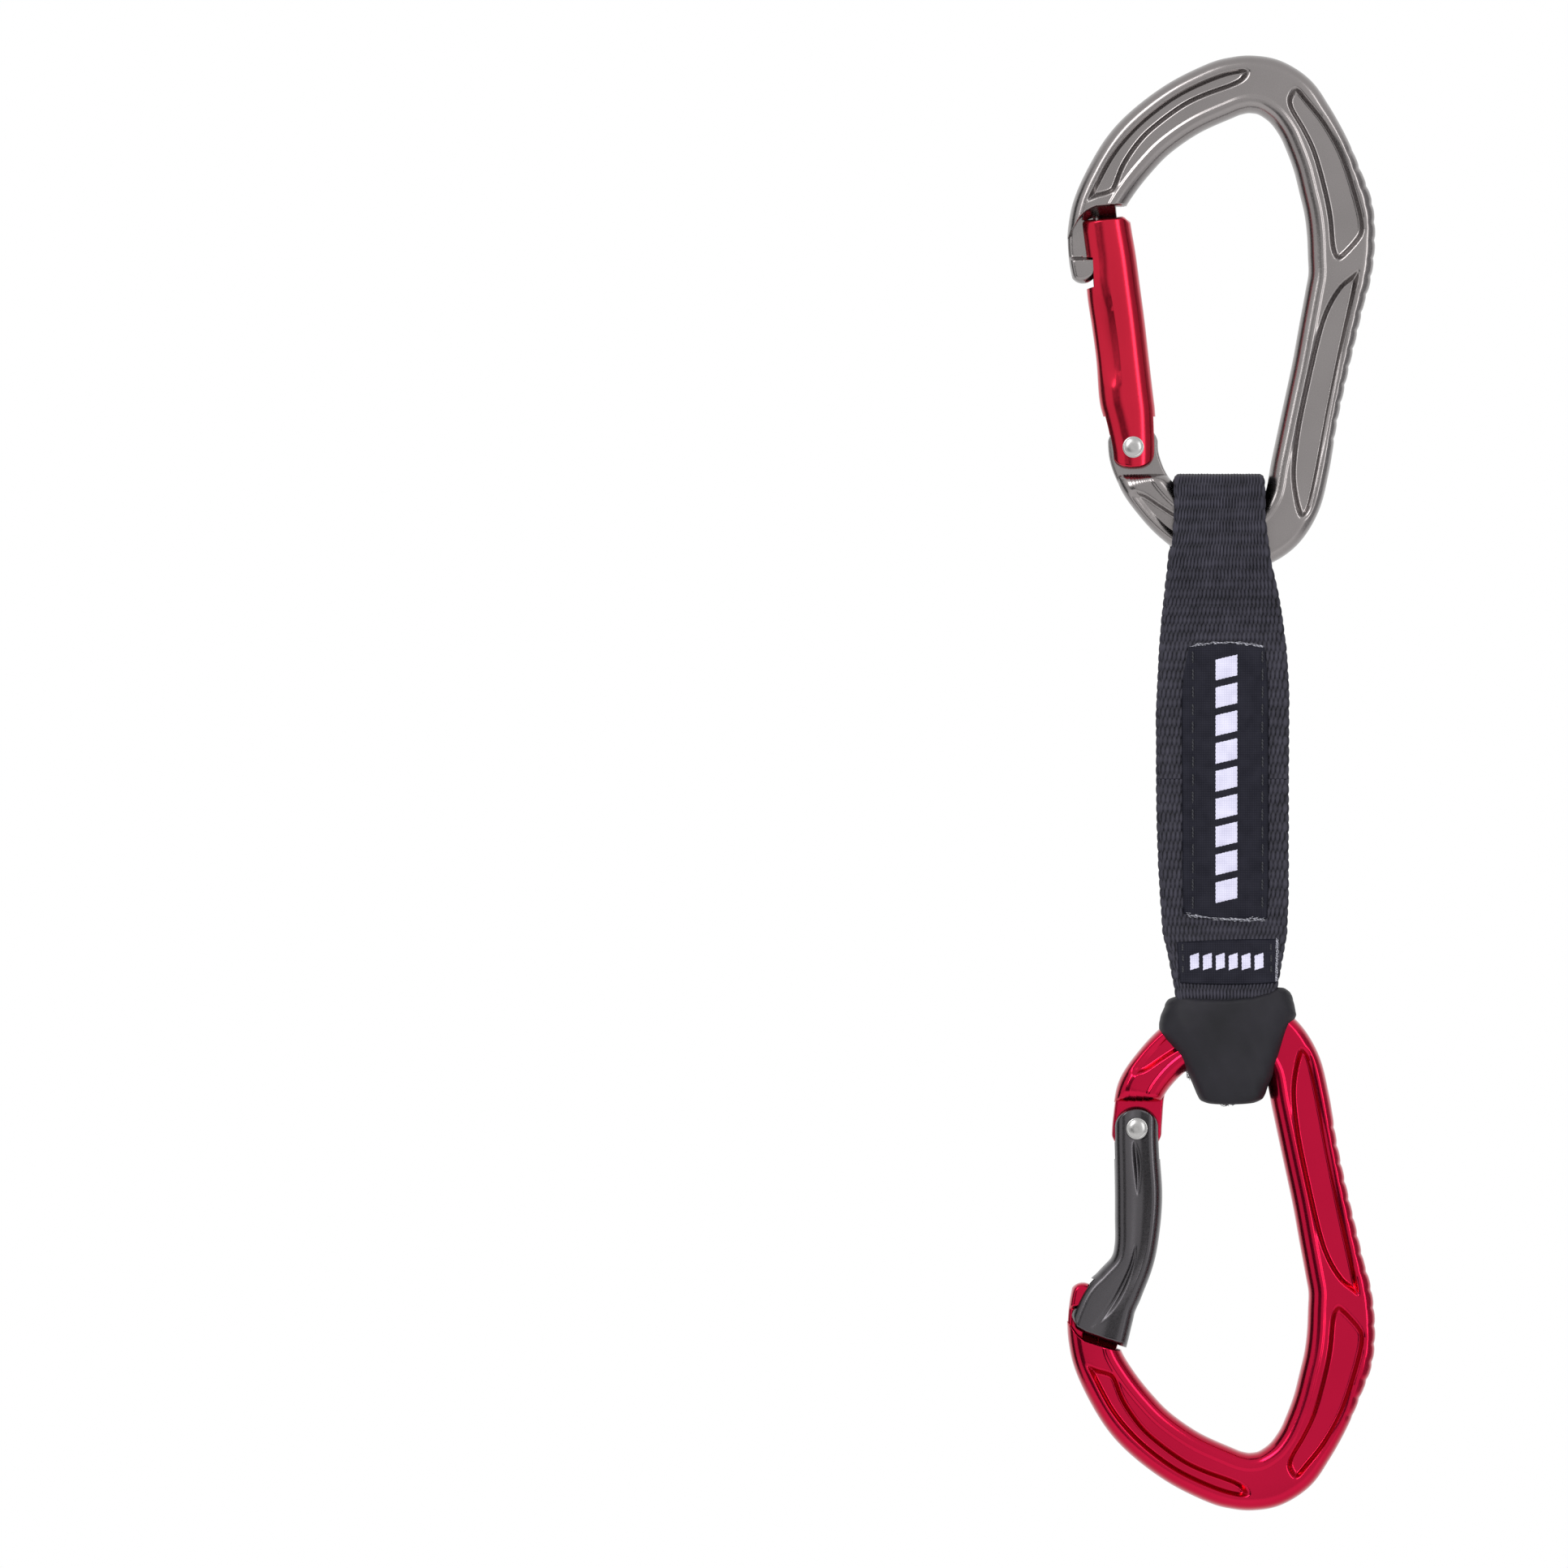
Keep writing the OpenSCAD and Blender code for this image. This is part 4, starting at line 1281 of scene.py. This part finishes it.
def rubber_finish():
    """Soft moulded rubber: dull, lightly blotched, with fine pits and specks of dust."""
    material, shader, place = new_finish("keeper_rubber")
    blotch = noise(material, place, 90.0, 4.0)
    pits = noise(material, place, 3500.0, 3.0)
    dust = noise(material, place, 900.0, 6.0)
    base = two_tones(material, blotch, (0.006, 0.006, 0.008), (0.014, 0.013, 0.018), 0.3, 0.7)
    speck = two_tones(material, dust, (0, 0, 0), (1, 1, 1), 0.74, 0.78)
    inputs = {"Factor": speck, "A": base, "B": (0.16, 0.16, 0.17, 1)}
    feed(shader, {
        "Specular IOR Level": 0.22,
        "Base Color": add_node(material, "Mix", inputs, "Result", data_type="RGBA"),
        "Roughness": ranged(material, blotch, 0.46, 0.68),
        "Normal": bump(material, pits, 0.25, 0.00005),
    })
    return material


def bend_with_keeper(piece):
    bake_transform(piece)


rings = keeper_rings()
keeper = new_piece(
    "keeper_rubber_moulding", rings.reshape(-1, 3), ring_faces(len(rings), around), rubber_finish(),
)
bend_with_keeper(keeper)
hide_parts("rubber_keeper")

fuzz = []
for seed, (x0, z0), (x1, z1) in (
    (21, (-12.4, -184.6), (-11.0, -187.2)),
    (22, (3.9, -189.0), (5.2, -186.4)),
    (23, (-5.4, -192.0), (-3.0, -192.1)),
):
    under = [(x0 + (x1 - x0) * t, 0.4 * math.sin(9 * t), z0 + (z1 - z0) * t) for t in np.linspace(0, 1, 8)]
    fuzz += frayed(under, 34, seed, (0.5, 1.0), 0.22, 0.07)
fuzz_yarn = thread_finish("loose_yarn_black", (0.006, 0.006, 0.009), (0.03, 0.03, 0.038))
fuzz_piece = new_piece("keeper_loose_yarn", *joined(*fuzz), fuzz_yarn)
bend_with_keeper(fuzz_piece)

# ---- Gate springs and pushers ----
# A coil spring sits in each gate's bore and drives a pusher against the tang. Both are
# plain turned and coiled parts, so they keep their shape and get drawn spring steel.
spring_steel = metal("drawn_spring_steel", (0.42, 0.41, 0.40), 0.30, 5200.0, 0.08)
for node in ("top_gate_spring", "top_gate_pusher", "bottom_gate_spring", "bottom_gate_pusher"):
    for material_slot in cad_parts[node].material_slots:
        material_slot.material = spring_steel
